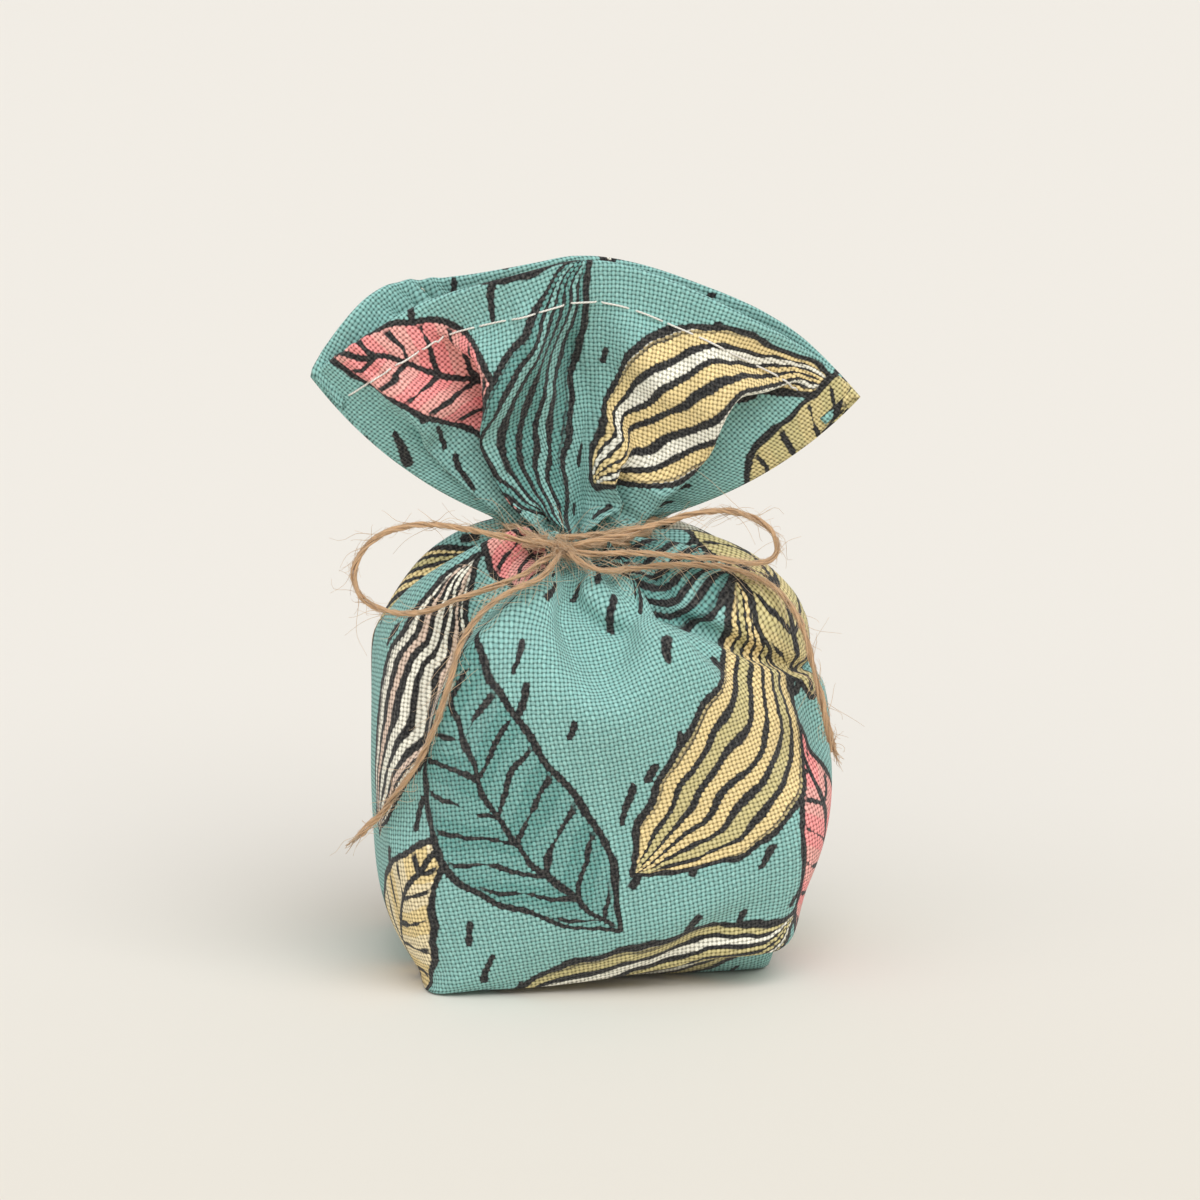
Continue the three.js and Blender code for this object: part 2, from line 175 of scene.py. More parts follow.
def smoothPath(knots, spacing):
    # centripetal spline through the points: each span is a cubic whose end slopes come from its neighbours
    knots = np.asarray(knots, float)
    p = np.vstack([2 * knots[:1] - knots[1:2], knots, 2 * knots[-1:] - knots[-2:-1]])
    span = np.sqrt(stepsOf(p))[:, None]
    a, b, c, d = p[:-3], p[1:-2], p[2:-1], p[3:]
    t0, t1, t2 = span[:-2], span[1:-1], span[2:]
    slopeB = ((b - a) / t0 - (c - a) / (t0 + t1) + (c - b) / t1) * t1
    slopeC = ((c - b) / t1 - (d - b) / (t1 + t2) + (d - c) / t2) * t1
    t = np.linspace(0, 1, 25)[:-1][None, :, None]
    b, c, slopeB, slopeC = (q[:, None, :] for q in (b, c, slopeB, slopeC))
    fine = (2 * t ** 3 - 3 * t ** 2 + 1) * b + (t ** 3 - 2 * t ** 2 + t) * slopeB
    fine = fine + (3 * t ** 2 - 2 * t ** 3) * c + (t ** 3 - t ** 2) * slopeC
    return evenPath(np.vstack([fine.reshape(-1, 3), knots[-1:]]), spacing)


def strandPath(name):
    # straight out of the knot, along the route and, for a loop, straight in again, then evened
    s = twineSet
    route = np.array(twineRoutes[name], float)
    start = s["knotRadius"] + s["touch"]
    depths = np.array([[s["root"]], [start], [start + s["diameter"]]])
    loop = name.endswith("loop")
    inside = unit(route[:1]) * depths
    outside = unit(route[-1:]) * depths[::-1] if loop else np.zeros((0, 3))
    middle = route[1:-1] if loop else route[1:]
    path = smoothPath(np.vstack([inside, middle, outside]) + knotMiddle, s["spacing"])
    for _ in range(s["evening"]):
        path[1:-1] = (path[:-2] + 2 * path[1:-1] + path[2:]) / 4
    return path


strandPaths = {name: strandPath(name) for name in twineRoutes}
for name, path in strandPaths.items():
    print("strand", name, "length", round(float(stepsOf(path).sum()), 1), "mm")

# cloth: one tube of canvas, cut flat, filled, gathered at the neck and relaxed until it hangs together
bodyForm = dict(baseWide=62.0, baseDeep=50.0, baseSquare=12.0, bellyWide=82.0, bellyDeep=63.0,
                bellyHeight=37.0, bellySquare=2.5, lowerBulge=2.0, neckWide=24.0, neckDeep=16.0,
                neckHeight=73.0, neckSquare=2.0, shift=3.8, baseShift=2.1, middleHeight=38.0)
clothSet = dict(around=231.0, thickness=0.22, wallSlack=4.0, seamDrawn=0.08, bandLow=74.6, band=3.6,
                columns=80, rows=49, rough=0.5, seed=7, hemDeep=8.0)
# the mouth's edge; backRise lists bumps of the back's edge, each (height, place across, width)
mouthSet = dict(topHeight=126.0, tipWide=47.7, tipTurn=62.0, tipLean=1.3, leftDrop=21.5, rightDrop=27.0,
                dropPower=1.28, blunt=0.08, deep=7.0, wave=2.7, sail=3.2,
                backRise=[(5.5, -0.7, 0.24), (1.5, 0.6, 0.25), (-1.5, 0.0, 0.3)])
# the fold round the base: how far it stands off the floor at the front right corner, elsewhere, and least
baseFold = dict(corner=6.6, start=-16.0, reach=46.0, power=1.5, rest=0.9, least=0.3)
# ridges of the gathers, in degrees round the neck from the right-hand seam, and the folds' depth between
gatherRidges = np.array([0, 25, 50, 76, 101, 128, 153, 180, 207, 233, 255, 275, 298, 328, 360.0])
gatherFolds = np.array([.5, .62, .5, .6, .7, .5, .55, .5, .72, .5, .8, .72, .62, .45])


def bodyOutline(level):
    # level 0 to 1: base to belly, swelling by a power curve; level 1 to 2: belly to neck, a quarter ellipse
    f = bodyForm
    up = np.clip(level, 0, 1)
    over = np.clip(level - 1, 0, 1)
    low = level <= 1
    swell = 1 - (1 - up) ** f["lowerBulge"]
    turn = over * np.pi / 2
    wide, deep = (np.where(low, mix(f["base" + way], f["belly" + way], swell),
                           mix(f["neck" + way], f["belly" + way], np.cos(turn))) for way in ("Wide", "Deep"))
    square = np.where(low, mix(f["baseSquare"], f["bellySquare"], np.sqrt(up)),
                      mix(f["bellySquare"], f["neckSquare"], over))
    height = np.where(low, f["bellyHeight"] * level, mix(f["bellyHeight"], f["neckHeight"], np.sin(turn)))
    shift = np.where(low, mix(f["shift"], f["baseShift"], (1 - up) ** 1.5), f["shift"] * (1 - over ** 4))
    return wide / 2, deep / 2, square, height, shift


def evenRing(x, y, count):
    # a closed line stepped evenly along each half, from the right-hand seam round the back to the left and on
    run = runOf(np.hypot(np.diff(x), np.diff(y)))
    half = run[len(run) // 2]
    share = np.arange(count) / count
    at = np.where(share < 0.5, share * 2 * half, half + (share - 0.5) * 2 * (run[-1] - half))
    return np.stack([np.interp(at, run, x), np.interp(at, run, y)], 1), run[-1]


def superRing(wide, deep, square, count):
    # superellipse: radius = (|cos / wide|^n + |sin / deep|^n)^(-1/n)
    angle = np.linspace(0, 2 * np.pi, 2881)
    r = (np.abs(np.cos(angle) / wide) ** square + np.abs(np.sin(angle) / deep) ** square) ** (-1 / square)
    return evenRing(r * np.cos(angle), r * np.sin(angle), count)


def gatherRing(count):
    # the neck's ellipse, folded in by half a cosine between each pair of ridges
    angle = np.linspace(0, 360, 5761)
    k = np.clip(np.searchsorted(gatherRidges, angle, side="right") - 1, 0, len(gatherFolds) - 1)
    phase = (angle - gatherRidges[k]) / (gatherRidges[k + 1] - gatherRidges[k])
    fold = gatherFolds[k] * (0.5 - 0.5 * np.cos(2 * np.pi * phase))
    a = np.radians(angle)
    r = ((np.cos(a) * 2 / bodyForm["neckWide"]) ** 2 + (np.sin(a) * 2 / bodyForm["neckDeep"]) ** 2) ** -0.5
    return evenRing(r * (1 - fold) * np.cos(a), r * (1 - fold) * np.sin(a), count)


def columnPlaces(count):
    # for each column: whether it is in front, its place across from -1 to 1, and how far the nearer seam is
    share = np.arange(count) / count
    front = share >= 0.5
    across = np.where(front, (share - 0.75) * 4, (0.25 - share) * 4)
    toSeam = np.minimum(np.abs(share - 0.5), np.minimum(share, 1 - share)) * clothSet["around"]
    return front, across, toSeam


def topEdge(count):
    # across is -1 at the left tip and 1 at the right; width is a sine, height falls as a power
    s = mouthSet
    front, across, _ = columnPlaces(count)
    most = np.radians(s["tipTurn"])
    x = s["tipWide"] * np.sin(most * across) / np.sin(most) + s["tipLean"] * across ** 2
    y = np.where(front, -1, 1) * s["deep"] * (1 - across ** 2)
    y = y + s["wave"] * np.sin(3 * np.pi * across) * (1 - across ** 4)
    drop = np.where(across < 0, s["leftDrop"], s["rightDrop"])
    z = s["topHeight"] - drop * np.hypot(across, s["blunt"]) ** s["dropPower"]
    behind = sum(high * np.exp(-((across - at) / wide) ** 2) for high, at, wide in s["backRise"])
    return np.stack([x, y, z + np.where(front, 0, behind)], 1)


def baseLift(x, y):
    # height of the fold round the base: it grows to the front right corner by a power of the way across
    s = baseFold
    way = np.clip(x - s["start"], 0, s["reach"]) / s["reach"]
    lift = s["corner"] * way ** s["power"] * ramp(16, -22, y)
    return lift + s["rest"] * ramp(-31, -20, x) * ramp(0, 12, np.abs(y)) + s["least"]


profileLevels = np.linspace(0, 2, 801)


def profileRun():
    # the way up the wall to each level, the mean of a side's and the front's
    wide, deep, _, height, _ = bodyOutline(profileLevels)
    side, front = (runOf(np.hypot(np.diff(half), np.diff(height))) for half in (wide, deep))
    return (side + front) / 2


profileRuns = profileRun()
bodyRun = profileRuns[-1]
neckRun = clothSet["bandLow"] - bodyForm["neckHeight"]
wallRun = bodyRun + neckRun
bandEnd = wallRun + clothSet["band"]
flareRun = mouthSet["topHeight"] - clothSet["bandLow"] - clothSet["band"]
fullRun = bandEnd + flareRun


def drapeStart(count, rows):
    # first guess: rings of the body, pleats growing towards the neck, then lines out to the mouth's edge,
    # where both seams swell outwards like the foot of a sail
    v = np.linspace(0, fullRun, rows)
    neck, neckLength = gatherRing(count)
    smoothNeck = superRing(bodyForm["neckWide"] / 2, bodyForm["neckDeep"] / 2, 2, count)[0]
    top = topEdge(count)
    points = np.zeros((rows, count, 3))
    low = np.column_stack([neck, np.full(count, clothSet["bandLow"] + clothSet["band"])])
    across = columnPlaces(count)[1]
    sail = np.stack([0.6 * np.sign(across), 0 * across, np.full(count, -0.8)], 1)
    sail = sail * (mouthSet["sail"] * np.abs(across) ** 6)[:, None]
    for j in range(rows):
        if v[j] <= bodyRun:
            wide, deep, square, height, shift = bodyOutline(np.interp(v[j], profileRuns, profileLevels))
            ring = superRing(wide, deep, square, count)[0]
            points[j, :, :2] = ring + (neck - smoothNeck) * ramp(22, 0, wallRun - v[j]) + [shift, 0]
            points[j, :, 2] = height
        elif v[j] <= bandEnd:
            points[j, :, :2] = neck
            points[j, :, 2] = bodyForm["neckHeight"] + v[j] - bodyRun
        else:
            up = (v[j] - bandEnd) / flareRun
            points[j] = mix(low, top, up) + 4 * up * (1 - up) * sail
    points[0, :, 2] = baseLift(points[0, :, 0] - bodyForm["baseShift"], points[0, :, 1])
    away = np.where(v < wallRun, wallRun - v, np.maximum(v - bandEnd, 0))
    gather = mix(neckLength / clothSet["around"], 1.0, ramp(0, 24, away))
    f = bodyForm
    baseLength = superRing(f["baseWide"] / 2, f["baseDeep"] / 2, f["baseSquare"], count)[1]
    return points, v, gather * mix(baseLength / clothSet["around"], 1.0, ramp(0, 20, v))


def fillPush(points, inset):
    # how far each point lies inside the filling, along the filling's own outward direction
    f = bodyForm
    raised = baseLift(0.8 * (points[..., 0] - f["baseShift"]), 0.8 * points[..., 1])
    z = points[..., 2]
    z = np.where(z < f["bellyHeight"], f["bellyHeight"] * (z - raised) / (f["bellyHeight"] - raised), z)
    z = np.clip(z, 0, f["neckHeight"] - 0.01)
    lift = np.clip((z - f["bellyHeight"]) / (f["neckHeight"] - f["bellyHeight"]), 0, 1)
    level = np.where(z <= f["bellyHeight"], z / f["bellyHeight"], 1 + np.arcsin(lift) * 2 / np.pi)
    wide, deep, square, height, shift = bodyOutline(level)
    wideUp, deepUp, _, heightUp, shiftUp = bodyOutline(np.minimum(level + 1e-3, 2))
    rise = np.maximum(heightUp - height, 1e-7)
    slopeWide, slopeDeep = (wideUp - wide) / rise, (deepUp - deep) / rise
    slopeShift = (shiftUp - shift) / rise
    wide, deep = wide - inset, deep - inset
    x, y = points[..., 0] - shift, points[..., 1]
    ax, ay = np.abs(x) / wide + 1e-9, np.abs(y) / deep + 1e-9
    px, py = ax ** (square - 1), ay ** (square - 1)
    form = (px * ax + py * ay) ** (1 / square)
    k = form ** (1 - square)
    gx, gy = k * px * np.sign(x) / wide, k * py * np.sign(y) / deep
    gz = -k * (px * ax * slopeWide / wide + py * ay * slopeDeep / deep) - gx * slopeShift
    size = np.sqrt(gx * gx + gy * gy + gz * gz) + 1e-9
    depth = np.where(points[..., 2] > f["neckHeight"], 0, np.clip((1 - form) / size, 0, 6))
    return np.stack([gx, gy, gz], -1) / size[..., None] * depth[..., None]


def clothNormals(points):
    # across the cloth: the step round the tube crossed with the step up it
    alongU = np.roll(points, -1, 1) - np.roll(points, 1, 1)
    return unit(np.cross(alongU, np.gradient(points, axis=0)))


def pull(gap, rest, stiff):
    # half of what a gap has over its rest length, along the gap
    return gap * (0.5 * stiff * (1 - rest / (np.sqrt((gap * gap).sum(-1, keepdims=True)) + 1e-9)))


def clothMove(points, restU, restV, restD, s, loose):
    # threads keep their length both ways, diagonals resist shear, and second differences resist bending
    c = pull(np.roll(points, -1, 1) - points, restU, 1)
    move = c - np.roll(c, 1, 1)
    c = pull(points[1:] - points[:-1], restV, 1)
    move[:-1] += c
    move[1:] -= c
    for step in (-1, 1):
        c = pull(np.roll(points[1:], step, 1) - points[:-1], restD, s["shear"])
        move[:-1] += c
        move[1:] -= np.roll(c, -step, 1)
    curl = (np.roll(points, -1, 1) - 2 * points + np.roll(points, 1, 1)) * loose
    move -= s["bend"] * (np.roll(curl, -1, 1) - 2 * curl + np.roll(curl, 1, 1))
    curl = np.zeros_like(points)
    curl[1:-1] = points[2:] - 2 * points[1:-1] + points[:-2]
    move[1:-1] -= s["bend"] * (curl[2:] - 2 * curl[1:-1] + curl[:-2])
    move[0] -= s["bend"] * curl[1]
    move[-1] -= s["bend"] * curl[-2]
    return move


def foldOf(line, deep, wide, roll=0.0, rollAt=4.0, over=0.0):
    # one fold: its line and the amounts that shape it
    return dict(line=np.array(line), deep=deep, wide=wide, roll=roll, rollAt=rollAt, over=over)


# shoulder folds as the front shows them: a line across and up in millimetres, with what happens along it
shoulderFolds = [
    foldOf([(3.5, 65.0), (7.5, 62.6), (13.0, 61.6), (20.5, 58.2), (27.7, 54.6), (33.2, 52.7), (39.0, 51.8),
            (45.0, 51.6)], deep=2.0, wide=1.7, roll=1.2, rollAt=7.0, over=2.4),
    foldOf([(-11.0, 67.5), (-19.0, 61.5), (-26.5, 53.0), (-30.5, 43.0), (-32.0, 33.0)], deep=1.9, wide=2.4),
    foldOf([(-6.5, 68.0), (-14.0, 61.5), (-21.5, 54.5), (-26.5, 44.0), (-29.0, 31.0)], deep=-1.7, wide=2.6),
    foldOf([(-4.6, 67.0), (-3.0, 61.5), (0.4, 58.8), (6.0, 57.2)], 1.5, 1.5, roll=1.0, rollAt=2.8, over=1.0),
    foldOf([(31.0, 50.0), (36.5, 42.0), (39.0, 33.0)], deep=1.0, wide=2.6, roll=0.5),
]
# folds of the flare in the same terms: a sharp ridge left of the middle, hollows and a narrow pleat
flareFolds = [
    foldOf([(-5.0, 75.5), (-6.3, 83.5), (-8.6, 94.0), (-10.7, 102.8), (-13.3, 111.5), (-15.6, 117.5)],
           deep=-1.9, wide=1.9),
    foldOf([(-2.4, 75.5), (-2.5, 85.3), (-3.8, 95.8), (-5.2, 104.5), (-6.0, 111.0)], deep=2.2, wide=1.9),
    foldOf([(0.3, 75.5), (0.7, 83.5), (0.5, 90.5), (-0.3, 97.0)], deep=-1.3, wide=1.2),
    foldOf([(3.3, 75.5), (4.0, 83.5), (4.6, 90.5), (4.4, 98.0)], deep=1.3, wide=1.5),
]


def frontPlace(points):
    # where a point stands in the front view, in millimetres across and up
    across = (points[..., 0] - bodyForm["shift"]) * math.cos(viewTurn) + points[..., 1] * math.sin(viewTurn)
    return np.stack([across, points[..., 2] * math.cos(viewRise) + points[..., 1] * math.sin(viewRise)], -1)


def nearFold(place, line):
    # signed distance to a line, positive above it, the way to its nearest point, and how far along that lies
    start, along = line[:-1], np.diff(line, axis=0)
    gap = place[..., None, :] - start
    t = np.clip((gap * along).sum(-1) / (along * along).sum(-1), 0, 1)
    off = gap - t[..., None] * along
    far = np.sqrt((off * off).sum(-1))
    k = far.argmin(-1)[..., None]
    off = np.take_along_axis(off, k[..., None], -2)[..., 0, :]
    side = np.sign(along[k[..., 0], 0] * off[..., 1] - along[k[..., 0], 1] * off[..., 0])
    side = side * np.where(line[-1, 0] > line[0, 0], 1, -1)
    share = (k + np.take_along_axis(t, k, -1))[..., 0] / len(along)
    return side * np.take_along_axis(far, k, -1)[..., 0], off, share


def foldShape(fold, distance, share):
    # outward: a groove along the line and a roll above it; slide: how far the roll hangs over the groove
    fade = ramp(0, 0.16, share) * ramp(1, 0.8, share)
    groove = np.exp(-((distance + 0.5 * fold["over"]) / fold["wide"]) ** 2)
    rolled = np.exp(-((distance - fold["rollAt"]) / (0.75 * fold["rollAt"])) ** 2)
    slide = np.exp(-((distance - 0.45 * fold["rollAt"]) / (0.6 * fold["rollAt"])) ** 2)
    return fade * (fold["roll"] * rolled - fold["deep"] * groove), fade * fold["over"] * slide


def creasePush(points):
    # while the cloth relaxes it is only drawn in along each groove
    push = np.zeros(points.shape[:-1])
    for fold in shoulderFolds:
        distance, _, share = nearFold(frontPlace(points), fold["line"])
        push += foldShape(fold, distance, share)[0]
    return push


def sculptFolds(points, v):
    # the folds pressed into the relaxed cloth, hanging over where they roll
    right = np.array([math.cos(viewTurn), math.sin(viewTurn), 0])
    up = np.array([math.sin(viewTurn) * math.sin(viewRise), math.cos(viewTurn) * math.sin(viewRise),
                   math.cos(viewRise)])
    front, _, toSeam = columnPlaces(points.shape[1])
    sides = (front * ramp(0, 3.5, toSeam))[None, :]
    shoulder = sides * (ramp(0, 9, wallRun - v) * ramp(4, 14, v))[:, None]
    flare = sides * (ramp(1, 5, v - bandEnd) * ramp(0, 9, fullRun - v))[:, None]
    forward = np.array([0.0, -1.0, 0.0])
    for folds, keep in ((shoulderFolds, shoulder), (flareFolds, flare)):
        for fold in folds:
            outward = forward if folds is flareFolds else clothNormals(points)
            distance, off, along = nearFold(frontPlace(points), fold["line"])
            out, slide = foldShape(fold, distance, along)
            way = -unit(off) * np.sign(distance)[..., None]
            way = way[..., :1] * right + way[..., 1:] * up
            points = points + keep[..., None] * (out[..., None] * outward + slide[..., None] * way)
    return points


# room for the twine: cloth keeps clear of it, and the front opens a shallow valley under it
roomSet = dict(clear=0.95, lastClear=1.05, reach=16.0, curve=0.08, sunk=1.0, most=9.0, knotSkip=12)


def strandPush(points, clear):
    # the cloth gives way where a strand lies on it
    push = np.zeros_like(points)
    flat = points.reshape(-1, 3)
    middle = np.array([bodyForm["shift"], 0, bodyForm["middleHeight"]])
    for path in strandPaths.values():
        line = path[::4]
        low, high = line.min(0) - clear, line.max(0) + clear
        near = np.flatnonzero(((flat > low) & (flat < high)).all(1))
        gap = flat[near][:, None, :] - line[None]
        far = (gap * gap).sum(-1)
        k = far.argmin(1)
        short = np.clip(clear - np.sqrt(far[np.arange(len(near)), k]), 0, None)
        push.reshape(-1, 3)[near] += unit(middle - line[k]) * short[:, None]
    return push


def strandRoom(points):
    # seen from the front, no cloth of the body stands before a strand; beside it the limit is a parabola
    s = roomSet
    flat = points.reshape(-1, 3)
    place, depth = frontPlace(flat), flat @ toView
    push = np.zeros(len(flat))
    for path in strandPaths.values():
        line = path[s["knotSkip"]::2]
        at, near = frontPlace(line), line @ toView
        low, high = at.min(0) - s["reach"], at.max(0) + s["reach"]
        k = np.flatnonzero(((place > low) & (place < high)).all(1))
        gap = place[k][:, None] - at[None]
        far = np.sqrt((gap * gap).sum(-1))
        limit = np.where(far < s["reach"], near[None] + s["curve"] * far * far - s["sunk"], 1e9).min(1)
        push[k] = np.maximum(push[k], np.clip(depth[k] - limit, 0, s["most"]))
    return -push.reshape(points.shape[:-1])[..., None] * toView


def orderPleats(points, near):
    # round the neck, bearings only grow from column to column: one that has swung past its neighbours swings
    # back, to halfway between the most before it and the least after it
    stretch, leastStep = 1.4, 0.3
    columns = points.shape[1]
    x, y = points[..., 0], points[..., 1] * stretch
    turn = np.unwrap(np.arctan2(y, x), axis=1)
    turn = turn - leastStep * 2 * np.pi / columns * np.arange(columns)
    most = np.maximum.accumulate(turn, axis=1)
    least = np.minimum.accumulate(turn[:, ::-1], axis=1)[:, ::-1]
    shift = ((most + least) / 2 - turn) * near[:, None]
    c, n = np.cos(shift), np.sin(shift)
    return np.stack([x * c - y * n, (x * n + y * c) / stretch, points[..., 2]], -1)


def keepApart(points, least):
    # front and back of the flare stay on their own sides of the middle, closest at the seams
    front, _, toSeam = columnPlaces(points.shape[1])
    side = np.where(front, -1.0, 1.0)
    apart = points.copy()
    apart[..., 1] = np.maximum(points[..., 1] * side, least * ramp(0, 5, toSeam) + 0.02) * side
    return apart


def pleatRows(v):
    # 1 near the tie, falling to 0 by 16 mm below it and 26 mm above it
    return ramp(16, 6, wallRun - v) * ramp(26, 16, v - bandEnd)


def relaxCloth(points, v, gather, s):
    # moves the cloth on by its speed, the filling's pressure and its weight, then mends lengths and contacts
    rows, count = points.shape[:2]
    front, _, toSeam = columnPlaces(count)
    restU = (clothSet["around"] / count * gather)[:, None, None]
    restV = np.full((rows - 1, count, 1), v[1] - v[0])
    restV[v[1:] <= wallRun] *= 1 + ((clothSet["wallSlack"] - points[0, :, 2]) / wallRun)[:, None]
    restV[v[1:] > bandEnd] *= 1 - clothSet["seamDrawn"] * np.exp(-(toSeam / 9) ** 2)[:, None]
    restD = np.sqrt(((restU[1:] + restU[:-1]) / 2) ** 2 + restV ** 2)
    free = np.ones((rows, 1, 1))  # 0 where the tie and the base's fold hold the cloth
    free[(v >= wallRun - 0.5) & (v <= bandEnd + 0.5)] = 0
    free[0] = 0
    upFlare = (v - bandEnd) / flareRun
    loose = 1 - s["seamLimp"] * (1 - ramp(0, 3, toSeam))[None, :, None] * ramp(0, 0.3, upFlare)[:, None, None]
    body = (v < wallRun)[:, None, None]
    walls = v <= wallRun + 1
    # seams and edge of the flare are drawn towards the first guess
    held = s["seamHeld"] * np.exp(-(toSeam / 4) ** 2)[None, :, None] * ramp(0.02, 0.3, upFlare)[:, None, None]
    held = free * np.maximum(held, s["edgeHeld"] * ramp(0.8, 1, upFlare)[:, None, None])
    target = drapeStart(count, rows)[0]
    flare = v > bandEnd + 4
    nearNeck = pleatRows(v)
    ordered = nearNeck > 0
    old = points.copy()
    for i in range(s["steps"]):
        speed = s["keep"] * (points - old)
        old = points.copy()
        normal = clothNormals(points)
        push = body * s["press"] * normal
        push[..., 2] -= s["weight"]
        if i % s["creaseEvery"] == 0:
            dent = (creasePush(points) * front * (v < wallRun - 3)[:, None])[..., None]
        push += s["crease"] * dent * normal
        points = points + free * (speed + push)
        for _ in range(s["inner"]):
            points = points + s["gain"] * free * clothMove(points, restU, restV, restD, s, loose)
        inset = s["inset"] - np.minimum(dent[walls][..., 0], 0)
        points[walls] += free[walls] * s["firm"] * fillPush(points[walls], inset)
        points[1:, :, 2] = np.maximum(points[1:, :, 2], s["floor"])
        points = points + held * (target - points)
        points[flare] = keepApart(points[flare], s["apart"])
        points[ordered] += free[ordered] * (orderPleats(points[ordered], nearNeck[ordered]) - points[ordered])
        if s["strands"] and i % s["strands"] == 0:
            points = points + free * strandPush(points, roomSet["clear"])
    return points


def finerCloth(points):
    # twice the columns and rows, each new one on the cubic through its four neighbours
    a, b, c, d = (np.roll(points, k, 1) for k in (1, 0, -1, -2))
    wide = np.stack([points, (9 * (b + c) - a - d) / 16], 2).reshape(points.shape[0], -1, 3)
    pad = np.concatenate([2 * wide[:1] - wide[1:2], wide, 2 * wide[-1:] - wide[-2:-1]])
    fine = np.zeros((wide.shape[0] * 2 - 1, wide.shape[1], 3))
    fine[0::2] = wide
    fine[1::2] = (9 * (pad[1:-2] + pad[2:-1]) - pad[:-3] - pad[3:]) / 16
    return fine


def evened(points):
    # the way from each point to the middle of its four neighbours
    middle = (np.roll(points, 1, 1) + np.roll(points, -1, 1)) / 4
    middle[1:-1] += (points[2:] + points[:-2]) / 4
    middle[[0, -1]] *= 2
    return middle - points


# each stage has twice the columns and rows of the one before; strands is how often the twine presses, 0 never
relaxSet = dict(inner=3, gain=0.25, shear=0.25, bend=0.05, firm=0.5, inset=0.6, seamHeld=0.6, edgeHeld=0.04,
                seamLimp=0.9, floor=0.2, apart=0.9, creaseEvery=10)
drapeStages = [
    dict(relaxSet, steps=700, keep=0.9, weight=0.002, press=0.0012, crease=0.02, strands=0),
    dict(relaxSet, steps=260, keep=0.9, weight=0.0006, press=0.0003, crease=0.006, strands=10),
    dict(relaxSet, steps=70, keep=0.85, weight=0.0002, press=0.0001, crease=0.002, strands=6),
]
# after the stages: rounds of pressing and evening, and how far each round evens
settleSet = dict(apart=0.5, presses=14, evenings=8, evening=0.5, valleys=9, valleyFull=1.5, valleyEvening=0.4)


def drapeCloth():
    # each stage relaxes a grid twice as fine as the last; folds, pleats and valleys come after
    s = settleSet
    count, rows = clothSet["columns"], clothSet["rows"]
    points, v, gather = drapeStart(count, rows)
    rough = np.random.default_rng(clothSet["seed"]).normal(0, clothSet["rough"], points.shape)
    points = points + rough * ((v > 3) & ((v < wallRun - 2) | (v > bandEnd + 2)))[:, None, None]
    for k, stage in enumerate(drapeStages):
        if k:
            count, rows = count * 2, rows * 2 - 1
            points = finerCloth(points)
            v, gather = drapeStart(count, rows)[1:]
        if not (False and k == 2):
            points = relaxCloth(points, v, gather, stage)
        print("cloth stage", k, points.shape[0], "rows of", points.shape[1])
    points = sculptFolds(points, v)
    above = v > bandEnd + 0.6
    points[above] = orderPleats(keepApart(points[above], s["apart"]), pleatRows(v[above]))
    below = (ramp(2, 6, wallRun - v) * ramp(22, 14, wallRun - v))[:, None, None]
    for step in range(s["presses"]):  # the twine presses, and at first the cloth below the tie evens out
        points = points + strandPush(points, roomSet["lastClear"])
        if step < s["evenings"]:
            points = points + s["evening"] * below * evened(points)
    body = (v < wallRun - 0.5)[:, None] & columnPlaces(points.shape[1])[0]
    pressed = np.zeros(body.shape)
    for _ in range(s["valleys"]):  # valleys open and what they pressed evens out
        room = body[..., None] * strandRoom(points)
        pressed = np.maximum(pressed, ramp(0, s["valleyFull"], np.abs(room).max(-1)))
        points = points + room + s["valleyEvening"] * pressed[..., None] * evened(points + room)
    return points, v


clothPoints, clothRows = drapeCloth()


# panels: the front and back halves of the tube, each one cut piece from the bottom seam to its hem's raw edge
panelSet = dict(baseRows=14, rollRows=6, rollRadius=0.65, hemRows=12, baseFloor=0.15, floorReach=0.42,
                edgePinch=0.4, tightThin=0.73, inkBelow=34.0, inkAbove=14.0, inkSeam=1.2)


def panelColumns(count, front):
    # the columns of one half of the tube, with both side seams
    half = count // 2
    return (np.arange(half + 1) + half) % count if front else np.arange(half + 1)


def baseGrid(ring, inward):
    # from the fold round the base down to the floor and in to the bottom seam
    base = np.zeros((len(inward), len(ring), 3))
    base[..., 0] = mix(ring[:, 0], bodyForm["baseShift"], 0.1 * inward)
    base[..., 1] = ring[:, 1] * (1 - inward)
    base[..., 2] = mix(ring[:, 2], panelSet["baseFloor"], ramp(0, panelSet["floorReach"], inward))
    return base


